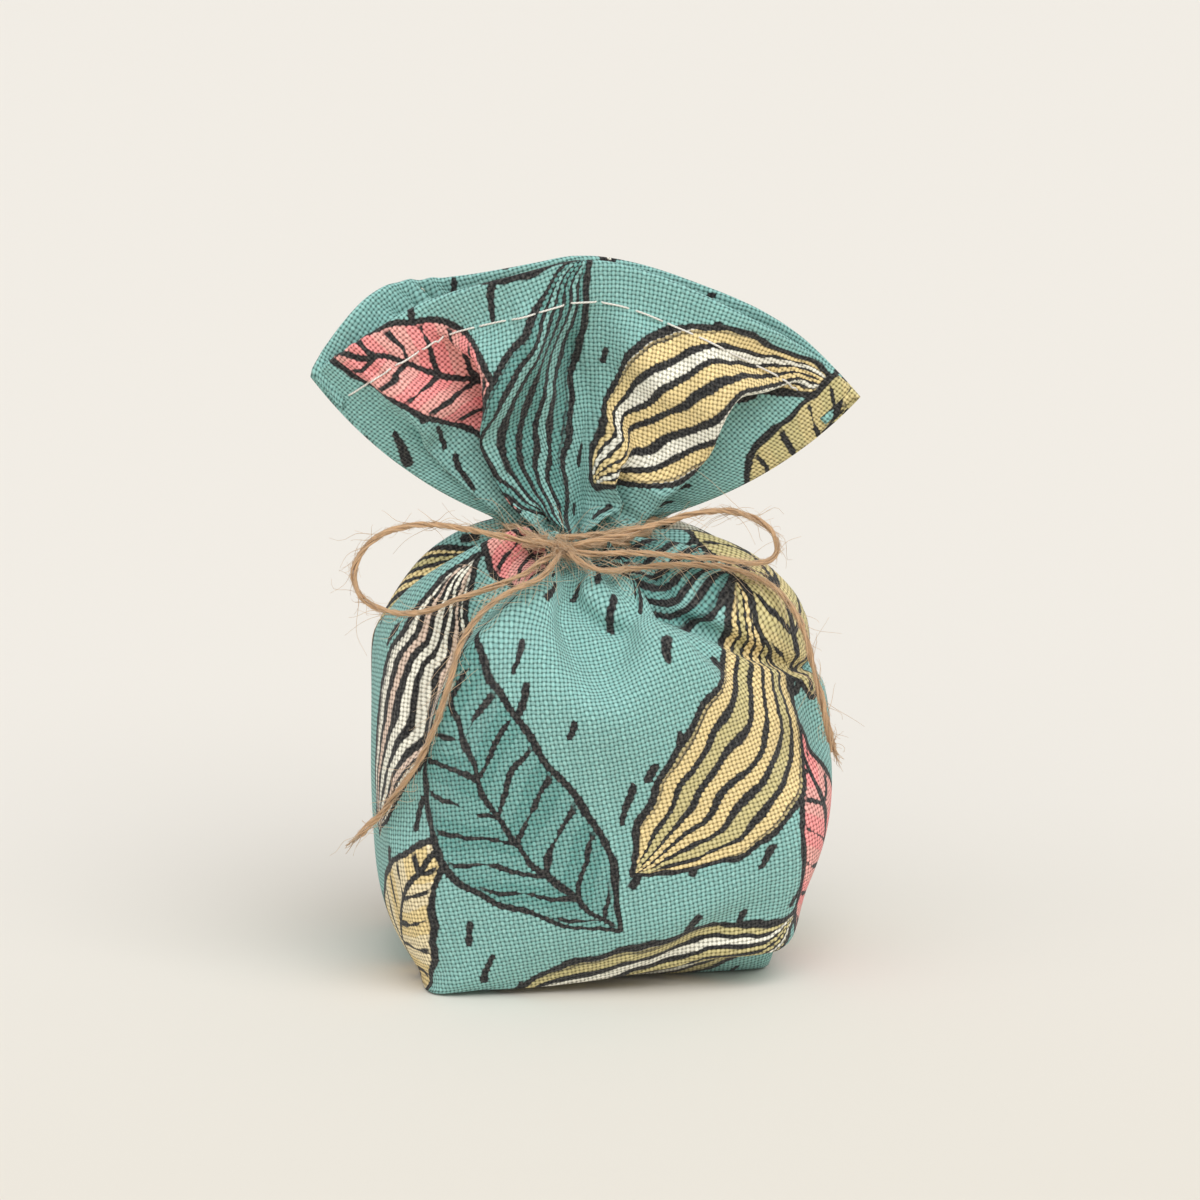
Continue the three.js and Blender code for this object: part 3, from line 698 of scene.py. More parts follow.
def buildPanel(points, v, front):
    # rows from the bottom seam: half the base, the wall, the gathers, the flare, over the edge, down the hem
    s, f = panelSet, bodyForm
    columns = panelColumns(points.shape[1], front)
    normal = clothNormals(points)[:, columns]
    outer = points[:, columns].copy()
    outer[0, :, :2] += s["edgePinch"] * unit(outer[0, :, :2] - [f["baseShift"], 0])
    inward = np.append(np.linspace(1, 0.06, s["baseRows"]), 0.014)[:, None]
    base = baseGrid(outer[0], inward)
    up = unit(outer[-1] - outer[-3])
    out = unit(np.cross(np.gradient(outer[-1], axis=0), up))
    turn = np.linspace(0, np.pi, s["rollRows"] + 1)[1:][:, None, None]
    roll = outer[-1] + s["rollRadius"] * ((np.cos(turn) - 1) * out + np.sin(turn) * up)
    reach = np.linspace(0, clothSet["hemDeep"], s["hemRows"] + 1)[1:]
    back = np.interp(fullRun - reach, v, np.arange(len(v)))
    low = np.floor(back).astype(int)
    high = np.minimum(low + 1, len(v) - 1)
    part = (back - low)[:, None, None]
    hem = mix(outer[low], outer[high], part) - 2 * s["rollRadius"] * mix(normal[low], normal[high], part)
    rows = np.concatenate([base, outer, roll, hem])
    half = clothSet["around"] / 2
    u = np.linspace(-0.5, 0.5, len(columns)) * half + (0 if front else half)
    over = fullRun + np.linspace(0, np.pi * s["rollRadius"], s["rollRows"] + 1)[1:]
    heights = np.concatenate([-f["baseDeep"] / 2 * inward[:, 0], v, over, over[-1] + reach])
    return rows, np.stack(np.meshgrid(u, heights), -1)


def thickened(piece, thickness, share=None):
    # a second skin inside the first, nearer to it where the share is less than 1
    wall = piece.modifiers.new("thickness", "SOLIDIFY")
    wall.thickness = thickness * millimetre
    wall.offset = -1
    wall.material_offset = len(piece.data.materials) - 1
    if share is not None:
        group = piece.vertex_groups.new(name="wall")
        for level in np.unique(share.round(2)):
            group.add(np.flatnonzero(share.round(2) == level).tolist(), float(level), "REPLACE")
        wall.vertex_group = "wall"
    graph = bpy.context.evaluated_depsgraph_get()
    done = bpy.data.meshes.new_from_object(piece.evaluated_get(graph), depsgraph=graph)
    piece.modifiers.clear()
    piece.data = done
    done.name = piece.name
    piece.vertex_groups.clear()
    return piece


def panelPiece(name, front, materials):
    # one panel's grid made cloth-thick, thinner near the tie and at the fold round the base
    s = panelSet
    rows, uv = buildPanel(clothPoints, clothRows, front)
    faces = gridFaces(rows.shape[0], rows.shape[1], False)
    piece = makeMesh(name, rows, faces.tolist(), gridUv(uv), materials)
    run = uv[:, 0, 1]
    tight = np.maximum(ramp(34, 22, np.abs(run - (wallRun + bandEnd) / 2)), ramp(4, 1, run))
    thickened(piece, clothSet["thickness"], np.repeat(1 - s["tightThin"] * tight, rows.shape[1]))
    mesh = piece.data
    cut = np.zeros(len(mesh.loops) * 2, np.float32)
    mesh.uv_layers["cut"].data.foreach_get("uv", cut)
    across, height = cut.reshape(-1, 4, 2)[:, 0].T
    toSeam = clothSet["around"] / 4 - np.abs(across - (0 if front else clothSet["around"] / 2))
    slots = np.zeros(len(mesh.polygons), np.int32)
    mesh.polygons.foreach_get("material_index", slots)
    # the wrong side carries ink too where pleats press together at the tie and where the seams turn
    pressed = (height > wallRun - s["inkBelow"]) & (height < bandEnd + s["inkAbove"])
    slots[pressed | (toSeam < s["inkSeam"])] = 0
    mesh.polygons.foreach_set("material_index", slots)
    return piece


# finishes: formulas on values of a node tree
class Value:
    # a socket of a node tree; arithmetic with it adds math nodes
    def __init__(self, socket):
        self.socket = socket
        self.tree = socket.id_data

    def __add__(self, other):
        return calc("ADD", self, other)

    def __sub__(self, other):
        return calc("SUBTRACT", self, other)

    def __rsub__(self, other):
        return calc("SUBTRACT", other, self)

    def __mul__(self, other):
        return calc("MULTIPLY", self, other)

    def __truediv__(self, other):
        return calc("DIVIDE", self, other)


def setInput(socket, value):
    # a Value is linked to the socket, and anything else is set on it
    if isinstance(value, Value):
        value.tree.links.new(value.socket, socket)
    else:
        socket.default_value = value


def nodeOf(tree, kind, inputs, **settings):
    # a new node with its settings made and its inputs linked or set
    node = tree.nodes.new(kind)
    for key, value in settings.items():
        setattr(node, key, value)
    for key, value in inputs.items():
        setInput(node.inputs[key], value)
    return node


def valueOf(tree, kind, output, inputs, **settings):
    # one output of a new node
    return Value(nodeOf(tree, kind, inputs, **settings).outputs[output])


def treeOf(values):
    # the node tree that a formula's values belong to
    return next(value.tree for value in values if isinstance(value, Value))


def calc(operation, *values):
    # one math node on numbers and values
    return valueOf(treeOf(values), "ShaderNodeMath", 0, dict(enumerate(values)), operation=operation)


def clamped(value):
    # the same value kept between 0 and 1 by the math node that makes it
    value.socket.node.use_clamp = True
    return value


def vectorCalc(operation, *values):
    # one vector math node; a dot product gives a number
    output = "Value" if operation == "DOT_PRODUCT" else "Vector"
    return valueOf(treeOf(values), "ShaderNodeVectorMath", output, dict(enumerate(values)),
                   operation=operation)


def partsOf(value, kind="ShaderNodeSeparateXYZ"):
    # the parts of a vector or a colour
    return [Value(socket) for socket in nodeOf(value.tree, kind, {0: value}).outputs]


def joined(kind, *parts):
    # parts put back together as a vector or a colour
    return valueOf(treeOf(parts), kind, 0, dict(enumerate(parts)))


def blendColour(share, a, b, kind="MIX"):
    # from colour a towards b by a share, in the way that kind names
    return valueOf(treeOf((share, a, b)), "ShaderNodeMix", 2, {0: share, 6: a, 7: b},
                   data_type="RGBA", blend_type=kind)


def shadeColour(colour, lit):
    # a colour times one brightness
    return blendColour(1.0, colour, joined("ShaderNodeCombineColor", lit, lit, lit), "MULTIPLY")


def noiseOf(place, scale, detail=2.0, rough=0.5, output=0):
    # noise of a given scale at a place
    return valueOf(place.tree, "ShaderNodeTexNoise", output,
                   dict(Vector=place, Scale=scale, Detail=detail, Roughness=rough))


def reliefOf(height, strength, depth):
    # fine relief from a height
    return valueOf(height.tree, "ShaderNodeBump", 0, dict(Height=height, Strength=strength, Distance=depth))


def cutPlace(tree):
    # the place on the cut piece, from its own UV map
    return valueOf(tree, "ShaderNodeUVMap", 0, {}, uv_map="cut")


def objectPlace(tree):
    # the place in the part's frame
    return valueOf(tree, "ShaderNodeTexCoord", "Object", {})


def ink(red, green, blue):
    # a colour as a screen shows it, 0 to 255, turned into the linear light that shaders use
    c = np.array([red, green, blue]) / 255
    c = np.where(c <= 0.04045, c / 12.92, ((c + 0.055) / 1.055) ** 2.4)
    return (*c.tolist(), 1.0)


def newGroup(name, outputs):
    # a node group with one vector, the place, going in
    tree = bpy.data.node_groups.new(name, "ShaderNodeTree")
    tree.interface.new_socket("Place", in_out="INPUT", socket_type="NodeSocketVector")
    for label, kind in outputs.items():
        tree.interface.new_socket(label, in_out="OUTPUT", socket_type="NodeSocket" + kind)
    return tree, valueOf(tree, "NodeGroupInput", 0, {})


def closeGroup(tree, *values):
    # the group's outputs, in order
    nodeOf(tree, "NodeGroupOutput", dict(enumerate(values)))
    return tree


def newMaterial(name):
    # a material and its node tree
    material = bpy.data.materials.new(name)
    material.use_nodes = True
    return material, material.node_tree


def finished(material, colour, rough, more):
    # the shader takes the colour, the roughness and what else the finish has
    shader = material.node_tree.nodes["Principled BSDF"]
    for key, value in {"Base Color": colour, "Roughness": rough, **more}.items():
        setInput(shader.inputs[key], value)
    return material


weaveSet = dict(pitch=0.75, grain=-8.0, waver=0.16, crown=0.6, dip=0.5, pit=0.85, pitPower=1.35, snap=0.35,
                apart=400.5)
printInks = dict(teal=ink(134, 183, 177), deepTeal=ink(98, 153, 147), mustard=ink(228, 205, 148),
                 olive=ink(199, 187, 133), coral=ink(240, 150, 148), cream=ink(236, 233, 218),
                 blush=ink(219, 195, 177), black=ink(30, 30, 33))


def weaveGroup():
    # plain weave: threads cross over and under in turn; each is round across, dips along to the next
    # crossing, and leaves a small pit where four cells meet, which the canvas darkens as painted shade
    s = weaveSet
    tree, place = newGroup("canvasWeave", dict(Height="Float", Thread="Float", Snapped="Vector"))
    waver = noiseOf(place, 0.35, 1.0) * (s["waver"] * 4)
    turned = valueOf(tree, "ShaderNodeVectorRotate", 0, dict(Vector=place, Angle=math.radians(s["grain"])),
                     rotation_type="Z_AXIS")
    x, y, _ = partsOf(turned)
    p, q = x / s["pitch"] + waver, y / s["pitch"] - waver
    ip, iq = calc("FLOOR", p), calc("FLOOR", q)
    fx, fy = p - ip - 0.5, q - iq - 0.5
    over = calc("FLOORED_MODULO", ip + iq, 2.0)
    across = over * (fx - fy) + fy
    along = over * (fy - fx) + fx
    bulge = (1 - across * across * 4) * (1 - along * along * (4 * s["dip"]))
    pit = calc("POWER", calc("ABSOLUTE", fx * fy * 4), s["pitPower"])
    height = bulge * s["crown"] + (1 - s["crown"]) - pit * s["pit"]
    number = over * (ip + s["apart"] - iq) + iq
    tint = valueOf(tree, "ShaderNodeTexWhiteNoise", "Value", dict(W=number), noise_dimensions="1D")
    slub = noiseOf(vectorCalc("MULTIPLY", place, (0.9, 0.9, 0.9)), 1.0)
    thread = over * 0.3 + tint * 0.4 + slub * 0.3
    snap = -s["snap"] * s["pitch"]
    snapped = vectorCalc("ADD", joined("ShaderNodeCombineXYZ", fx * snap, fy * snap), place)
    return closeGroup(tree, height, thread, snapped)


# the print: big leaves on a teal ground, each (across, up, turn, half length, half width, bend, kind, inks)
leafPrint = [
    (-38, 8, 62, 27, 9.5, 4, "vein", "mustard", "cream"),
    (8, 3, 12, 30, 10, -5, "stripe", "olive", "cream"),
    (46, 20, 108, 26, 9, 5, "vein", "coral", "blush"),
    (-14, 40, 118, 33, 12, 7, "vein", "deepTeal", "teal"),
    (22, 46, 52, 31, 12, -6, "stripe", "mustard", "olive"),
    (-46, 52, 84, 26, 9, -4, "stripe", "cream", "blush"),
    (-33, 81, -14, 17, 8.5, 4, "vein", "coral", "blush"),
    (27, 80, 166, 24, 8.5, 3, "stripe", "deepTeal", "teal"),
    (52, 66, 70, 22, 8, 3, "vein", "olive", "mustard"),
    (-36, 122, 128, 29, 11, -6, "vein", "coral", "blush"),
    (-4, 118, 78, 27, 10, 5, "stripe", "deepTeal", "teal"),
    (30, 120, 40, 31, 11.5, 6, "stripe", "mustard", "cream"),
    (55, 132, 100, 22, 8, -3, "vein", "olive", "mustard"),
    (4, 148, 8, 30, 9, 4, "vein", "olive", "mustard"),
    (76, 18, 40, 29, 10, 5, "stripe", "mustard", "cream"),
    (112, 30, 112, 33, 12, -7, "vein", "coral", "blush"),
    (150, 14, 64, 28, 10, 5, "vein", "olive", "mustard"),
    (88, 62, 128, 29, 10, 6, "vein", "cream", "blush"),
    (132, 66, 46, 31, 11, -6, "stripe", "deepTeal", "teal"),
    (164, 58, 96, 26, 9, 4, "stripe", "mustard", "olive"),
    (84, 112, 58, 28, 10, -5, "vein", "mustard", "cream"),
    (118, 116, 104, 29, 10, 6, "stripe", "cream", "blush"),
    (152, 118, 134, 29, 11, 5, "vein", "coral", "blush"),
]
printSet = dict(wobble=2.6, line=0.28, lineVary=0.75, soft=5.0, veinGap=6.5, veinSlant=0.8, veinShade=0.35,
                stripes=3.2, egg=0.35, dashGap=9.5, dashShort=0.6, dashVary=3.2, dashChance=0.35)


def softEdge(inset):
    # 1 inside and 0 outside, over a short way
    return clamped(inset * printSet["soft"] + 0.5)


def fromHalf(run):
    # how far a run is from the middle of its span of 1
    return calc("ABSOLUTE", calc("FRACT", run) - 0.5)


def oddSpan(run):
    # 1 in every second span of 1
    return calc("GREATER_THAN", calc("FRACT", run * 0.5), 0.5)


def leafLayer(place, line, breaks, under, leaf):
    # a leaf: half width falls as 1 - a^2 from the middle; ink lies along its edge and its marks
    across, up, turn, long, wide, bend, kind, first, second = leaf
    s = printSet
    c, n = math.cos(math.radians(turn)), math.sin(math.radians(turn))
    off = vectorCalc("SUBTRACT", place, (across, up, 0))
    a = vectorCalc("DOT_PRODUCT", off, (c / long, n / long, 0))
    side = vectorCalc("DOT_PRODUCT", off, (-n, c, 0))
    taper = 1 - a * a
    y = calc("ABSOLUTE", side - taper * bend)
    half = taper * wide * (1 - a * s["egg"])
    inset = half - y
    drawn = calc("GREATER_THAN", taper, -0.02)
    if kind == "vein":
        run = a * (long / s["veinGap"]) - y * (s["veinSlant"] / s["veinGap"])
        marks = calc("MAXIMUM", line * breaks - fromHalf(run) * s["veinGap"], line * 0.9 - y)
        shade = oddSpan(run) * s["veinShade"]
    else:
        band = y / calc("MAXIMUM", half, 0.5) * s["stripes"]
        marks = line - (0.5 - fromHalf(band)) * (wide / s["stripes"])
        shade = oddSpan(band)
    fill = blendColour(shade, printInks[first], printInks[second])
    within = softEdge(marks) * clamped(inset * 1.2 - 0.6)
    black = calc("MAXIMUM", within, softEdge(line - calc("ABSOLUTE", inset)))
    colour = blendColour(softEdge(inset) * drawn, under, fill)
    return blendColour(black * drawn, colour, printInks["black"])


def printGroup():
    # a hand-drawn waver, short dashes scattered on the ground, one to a cell, and the leaves over them
    s = printSet
    tree, place = newGroup("leafPrint", dict(Colour="Color"))
    drift = vectorCalc("SUBTRACT", noiseOf(place, 0.09, 1.0, output="Color"), (0.5, 0.5, 0.5))
    drift = vectorCalc("MULTIPLY", drift, (2 * s["wobble"], 2 * s["wobble"], 0))
    place = vectorCalc("ADD", place, drift)
    line = noiseOf(place, 0.14) * s["lineVary"] + s["line"]
    breaks = clamped(noiseOf(place, 0.16, 1.0) * 6.0 - 1.9)
    cell = nodeOf(tree, "ShaderNodeTexVoronoi", dict(Vector=place, Scale=1 / s["dashGap"], Randomness=0.75),
                  voronoi_dimensions="2D")
    chance = partsOf(Value(cell.outputs["Color"]), "ShaderNodeSeparateColor")
    middle = vectorCalc("MULTIPLY", Value(cell.outputs["Position"]), (1, 1, 0))
    off = vectorCalc("SUBTRACT", place, middle)
    thin, tall = (calc("ABSOLUTE", vectorCalc("DOT_PRODUCT", off, way))
                  for way in ((0.95, -0.31, 0), (0.31, 0.95, 0)))
    past = calc("MAXIMUM", tall - (chance[1] * s["dashVary"] + s["dashShort"]), 0.0)
    dash = softEdge(line - calc("SQRT", past * past + thin * thin))
    dash = dash * calc("GREATER_THAN", chance[0], s["dashChance"])
    colour = blendColour(dash, printInks["teal"], printInks["black"])
    for leaf in leafPrint:
        colour = leafLayer(place, line, breaks, colour, leaf)
    return closeGroup(tree, colour)


weaveTree, printTree = weaveGroup(), printGroup()
# low and high set the weave's painted highlight and shade from its height; deep and the two keys after it set
# the painted shade in its dips
canvasSet = dict(worn=0.3, wornFrom=0.12, ghost=0.16, unprinted=ink(235, 229, 210), low=0.78, high=0.5,
                 threadLow=0.8, threadVary=0.4, deep=0.42, pitShadeFrom=0.67, pitShadeFall=0.88, fibre=0.35,
                 rough=0.92, relief=0.75, reliefDepth=0.00016)


def canvasMaterial(name, printed):
    # printed ink on a plain weave, with painted shade deepening the colour where threads dip and a painted
    # highlight on their crowns; the wrong side shows only a ghost of the print
    s = canvasSet
    material, tree = newMaterial(name)
    place = cutPlace(tree)
    weave = nodeOf(tree, "ShaderNodeGroup", {}, node_tree=weaveTree)
    setInput(weave.inputs[0], place)
    height, thread, snapped = (Value(socket) for socket in weave.outputs)
    art = nodeOf(tree, "ShaderNodeGroup", {}, node_tree=printTree)
    setInput(art.inputs[0], snapped)
    worn = clamped(noiseOf(place, 1.6, 3.0, 0.6) * s["worn"] - s["wornFrom"])
    colour = blendColour(worn, Value(art.outputs[0]), printInks["cream"])
    if not printed:
        colour = blendColour(s["ghost"], s["unprinted"], colour)
    # painted light of the weave: crowns are painted brighter as a highlight, dips and pits painted darker and
    # deeper in hue as shade
    lit = (height * s["high"] + s["low"]) * (thread * s["threadVary"] + s["threadLow"])
    deep = blendColour(1.0, colour, colour, "MULTIPLY")
    deep = blendColour(1.0, deep, (s["deep"], s["deep"], s["deep"], 1), "MULTIPLY")
    pitShadeShare = clamped(s["pitShadeFrom"] - height * s["pitShadeFall"])
    colour = blendColour(pitShadeShare, shadeColour(colour, lit), deep)
    fibre = noiseOf(place, 5.0, 3.0, 0.7) * s["fibre"] + height
    return finished(material, colour, s["rough"], {
        "Specular IOR Level": 0.2, "Sheen Weight": 0.12, "Sheen Roughness": 0.6,
        "Normal": reliefOf(fibre, s["relief"], s["reliefDepth"])})


canvasFront = canvasMaterial("printed_canvas", True)
canvasBack = canvasMaterial("canvas_wrong_side", False)
print("canvas finished")

frontCloth = panelPiece("front_cloth", True, [canvasFront, canvasBack])
backCloth = panelPiece("back_cloth", False, [canvasFront, canvasBack])
print("panels cut", len(frontCloth.data.polygons), "faces each")


# round stock carried along paths
def squareTo(ahead, hint):
    # two directions square to the way ahead, the first as near to the hint as can be
    first = unit(hint - (hint * ahead).sum(-1, keepdims=True) * ahead)
    return first, np.cross(ahead, first)


def tubeGrid(paths, radius, sides, hints):
    # circles set square to each path, their start turned to the hints; paths are (tube, station, xyz)
    first, second = squareTo(unit(np.gradient(paths, axis=1)), hints)
    turn = np.linspace(0, 2 * np.pi, sides, endpoint=False)
    ring = first[:, :, None] * np.cos(turn)[:, None] + second[:, :, None] * np.sin(turn)[:, None]
    radius = np.broadcast_to(radius, paths.shape[:2] + (sides,))
    return paths[:, :, None] + ring * radius[..., None]


def tubePiece(name, grid, material, runs):
    # tubes with flat ends; the map goes round each tube and along it by its runs
    tubes, stations, sides = grid.shape[:3]
    step = stations * sides
    starts = (np.arange(tubes) * step)[:, None]
    faces = (gridFaces(stations, sides, True)[None] + starts[..., None]).reshape(-1, 4).tolist()
    caps = (np.arange(sides)[::-1] + starts).tolist() + (np.arange(sides) + starts + step - sides).tolist()
    runs = np.broadcast_to(runs, (tubes, stations))
    uv = np.stack(np.broadcast_arrays(np.linspace(0, 1, sides + 1)[None, None, :], runs[:, :, None]), -1)
    uv = np.concatenate([gridUv(tube) for tube in uv] + [np.zeros((len(caps) * sides, 2))])
    return makeMesh(name, grid, faces + caps, uv, [material])


# hem stitches: long running stitches of white thread, front and back
stitchSet = dict(diameter=0.36, depth=6.5, long=5.4, gap=0.7, vary=0.25, lift=0.22, sunk=0.35, span=1.2,
                 sides=6, stations=11, margin=3.0, seed=3)


def threadMaterial():
    # spun thread: fine slanted plies, painted darker between them as painted shade
    material, tree = newMaterial("white_thread")
    x, y, _ = partsOf(cutPlace(tree))
    ply = calc("SINE", x * 12.566 + y * 9.0) * 0.5 + 0.5
    # painted shade between the plies, lighter on their crowns
    colour = blendColour(ply, ink(214, 208, 196), ink(248, 245, 238))
    return finished(material, colour, 0.6, {"Sheen Weight": 0.3, "Normal": reliefOf(ply, 0.5, 0.00004)})


def rowAt(points, v, run):
    # the row of points at a run, between the two rows beside it
    at = np.interp(run, v, np.arange(len(v)))
    low = min(int(at), len(v) - 2)
    return mix(points[low], points[low + 1], at - low)


def stitchPiece(name, front, material):
    # each stitch follows the cloth or spans it where it is hollow, and dives in at both ends
    s = stitchSet
    columns = panelColumns(clothPoints.shape[1], front)
    line, normal = (rowAt(grid, clothRows, fullRun - s["depth"])[columns]
                    for grid in (clothPoints, clothNormals(clothPoints)))
    run = runOf(stepsOf(line))
    starts = np.arange(s["margin"], run[-1] - s["margin"] - s["long"], s["long"] + s["gap"])
    rng = np.random.default_rng(s["seed"] + front)
    starts = starts + rng.uniform(-s["vary"], s["vary"], len(starts))
    t = np.linspace(0, 1, s["stations"])
    at = starts[:, None] + s["long"] * t
    path, out = pointsAt(at, run, line), unit(pointsAt(at, run, normal))
    chord = mix(path[:, :1], path[:, -1:], t[None, :, None])
    above = np.maximum(((chord - path) * out).sum(-1), 0)
    dive = (2 * t - 1) ** 10 * (s["lift"] + s["sunk"])
    path = path + out * (np.minimum(above, s["span"]) + s["lift"] - dive)[..., None]
    return tubePiece(name, tubeGrid(path, s["diameter"] / 2, s["sides"], out), material, at)


whiteThread = threadMaterial()
frontStitches = stitchPiece("front_stitches", True, whiteThread)
backStitches = stitchPiece("back_stitches", False, whiteThread)
print("hems stitched")


# the twine's yarns, its loose hairs and the short fluff between, both counted to a millimetre
juteSet = dict(yarns=9, yarnRadius=0.2, bundle=0.37, lay=13.0, wander=0.5, sides=5, plies=2, hairs=1.7,
               hairRadius=0.06, fluff=6.0, fluffRadius=0.042, apart=41.0, floor=0.3, seed=23)


def juteMaterial(name, pale):
    # fibres lie along the twist: noise drawn out along each ply, painted shade in the grooves between plies,
    # a few bleached strands
    material, tree = newMaterial(name)
    place = cutPlace(tree)
    x, y, _ = partsOf(place)
    turn = (x - y * (1 / juteSet["lay"])) * (2 * math.pi)
    loop = joined("ShaderNodeCombineXYZ", calc("COSINE", turn), calc("SINE", turn), y * 0.12)
    fibre = noiseOf(loop, 8.0, 4.0, 0.7)
    colour = blendColour(clamped(fibre * 1.9 - 0.45), ink(184, 134, 90), ink(242, 210, 170))
    colour = blendColour(clamped(noiseOf(place, 0.35) - 0.3), colour, ink(222, 178, 134))
    if pale:
        colour = blendColour(0.35, colour, ink(240, 222, 194))
    else:
        # painted shade: darker in the grooves between the plies
        groove = calc("COSINE", turn * juteSet["plies"]) * 0.5 + 0.5
        colour = shadeColour(colour, groove * 0.16 + 0.86)
    return finished(material, colour, 0.8, {
        "Specular IOR Level": 0.25, "Sheen Weight": 0.2, "Normal": reliefOf(fibre, 0.8, 0.00012)})


juteTwine = juteMaterial("jute_twine", False)
juteFibre = juteMaterial("jute_fibre", True)


def wanderLine(run, step, rng, count):
    # smooth random lines, one for each of count, that change about once a step
    knots = rng.normal(0, 1, (count, int(run[-1] / step) + 4))
    at = run / run[-1] * (knots.shape[1] - 1)
    low = np.minimum(at.astype(int), knots.shape[1] - 2)
    return mix(knots[:, low], knots[:, low + 1], ramp(0, 1, at - low))


def strandPiece(name, path, hint, rng, splay=0.0):
    # a loose bundle: yarns wind about the path, each at its own pace and reach; at a free end they splay
    s = juteSet
    yarns = s["yarns"]
    run = runOf(stepsOf(path))
    first, second = squareTo(unit(np.gradient(path, axis=0)), np.asarray(hint))
    k = np.arange(yarns)
    pace = rng.uniform(0.75, 1.25, yarns)[:, None]
    turn = 2 * np.pi * (k[:, None] / yarns + pace * run / s["lay"])
    turn = turn + s["wander"] * wanderLine(run, 5.0, rng, yarns)
    reach = s["bundle"] * np.clip(0.8 + 0.3 * wanderLine(run, 4.0, rng, yarns), 0.2, 1.5)
    reach = reach * (1 + splay * ramp(8, 0, run[-1] - run) * rng.uniform(0.3, 1, (yarns, 1)))
    lines = path + reach[..., None] * (np.cos(turn)[..., None] * first + np.sin(turn)[..., None] * second)
    stop = run[-1] + 1.2 - splay * np.where(k < 4, 0, rng.uniform(0, 3.4, yarns))[:, None]
    radius = s["yarnRadius"] * (1 + 0.22 * wanderLine(run, 3.0, rng, yarns)) * ramp(-0.1, 1.2, stop - run)
    radius = np.clip(radius, 0.01, None)[..., None]
    grid = tubeGrid(lines, radius, s["sides"], np.broadcast_to(first, lines.shape))
    return tubePiece(name, grid, juteTwine, run + s["apart"] * k[:, None])


def fibrePiece(name, path, density, rng, frayed=0):
    # loose fibres leave the twine's surface and curl away, with short fluff between; frayed ones run on past
    # its end
    s = juteSet
    ahead = unit(np.gradient(path, axis=0))
    run = stepsOf(path).sum()
    long, short = int(run * s["hairs"] * density), int(run * s["fluff"] * density)
    count = long + short
    k = rng.integers(2, len(path) - 2, count)
    along = ahead[k] * rng.choice([-1, 1], (count, 1))
    away = unit(np.cross(along, unit(rng.normal(size=(count, 3)))))
    start = path[k] + away * s["bundle"]
    length = np.concatenate([rng.gamma(2.2, 1.3, long) + 1.2, rng.uniform(0.7, 2.0, short)])
    spread = np.concatenate([rng.uniform(0.15, 0.9, long), rng.uniform(0.1, 0.5, short)])
    curl = np.concatenate([rng.uniform(0.06, 0.24, long), np.full(short, 0.05)])
    radius = np.concatenate([np.full(long, s["hairRadius"]), np.full(short, s["fluffRadius"])])
    if frayed:
        tip = np.repeat(path[-1:], frayed, 0) + rng.normal(0, 0.25, (frayed, 3))
        start, along = np.vstack([start, tip]), np.vstack([along, np.repeat(ahead[-1:], frayed, 0)])
        away = np.vstack([away, unit(rng.normal(size=(frayed, 3)))])
        length = np.concatenate([length, rng.uniform(2.0, 4.2, frayed)])
        spread = np.concatenate([spread, rng.uniform(0.05, 0.35, frayed)])
        curl = np.concatenate([curl, rng.uniform(0.02, 0.1, frayed)])
        radius = np.concatenate([radius, rng.uniform(1.2, 2.4, frayed) * s["hairRadius"]])
    total = len(start)
    t = np.linspace(0, 1, 9)[None, :, None]
    size, spread, curl = (q[:, None, None] for q in (length, spread, curl))
    side = np.cross(along, away)[:, None]
    turn = 2 * np.pi * (rng.uniform(0.4, 1.3, (total, 1, 1)) * t + rng.uniform(0, 1, (total, 1, 1)))
    hair = start[:, None] + size * (t * along[:, None] + spread * t ** 1.4 * away[:, None])
    hair = hair + size * curl * t * (np.sin(turn) * side + np.cos(turn) * away[:, None])
    hair = np.maximum(hair, [-np.inf, -np.inf, s["floor"]])
    taper = radius[:, None, None] * (1 - 0.6 * t)
    grid = tubeGrid(hair, taper, 3, np.broadcast_to(side, hair.shape))
    return tubePiece(name, grid, juteFibre, size[..., 0] * t[..., 0])


def wrapPath():
    # turns round the neck's ellipse, rising a little to the right, with both ends drawn into the knot
    s = twineSet
    turns = s["wrapTurns"]
    turned = np.linspace(0, turns, int(turns * 40) + 1)
    angle = -np.radians(s["wrapReach"]) - turned * 2 * np.pi
    x, y = s["wrapWide"] * np.sin(angle), -s["wrapDeep"] * np.cos(angle)
    z = s["wrapLow"] + s["wrapPitch"] * (turns - turned) + 0.05 * x
    first = knotMiddle + np.array([[-0.8, 0.6, 0.6], [-2.6, 1.0, 1.1]])
    last = knotMiddle + np.array([[2.6, 1.0, 0.2], [0.8, 0.6, 0.0]])
    return smoothPath(np.vstack([first, np.stack([x, y, z], 1), last]), s["spacing"])


knotSet = dict(lean=52.0, turns=1.6, start=0.9, half=0.9, radius=1.5, forward=0.35)
knotLean = math.radians(knotSet["lean"])
knotTurn = np.array([math.cos(knotLean), 0.0, math.sin(knotLean)])


def knotPath():
    # a turn and a half slantwise over the crossing strands, drawn tight
    s = knotSet
    t = np.linspace(0, s["turns"], 61)
    turn = 2 * np.pi * t + s["start"]
    side = np.array([-knotTurn[2], 0, knotTurn[0]])
    path = mix(-s["half"], s["half"], t / t[-1])[:, None] * knotTurn
    path = path + s["radius"] * np.sin(turn)[:, None] * side
    path = knotMiddle + path + np.outer(s["forward"] + s["radius"] * np.cos(turn), [0, 1, 0])
    return evenPath(path, twineSet["spacing"])


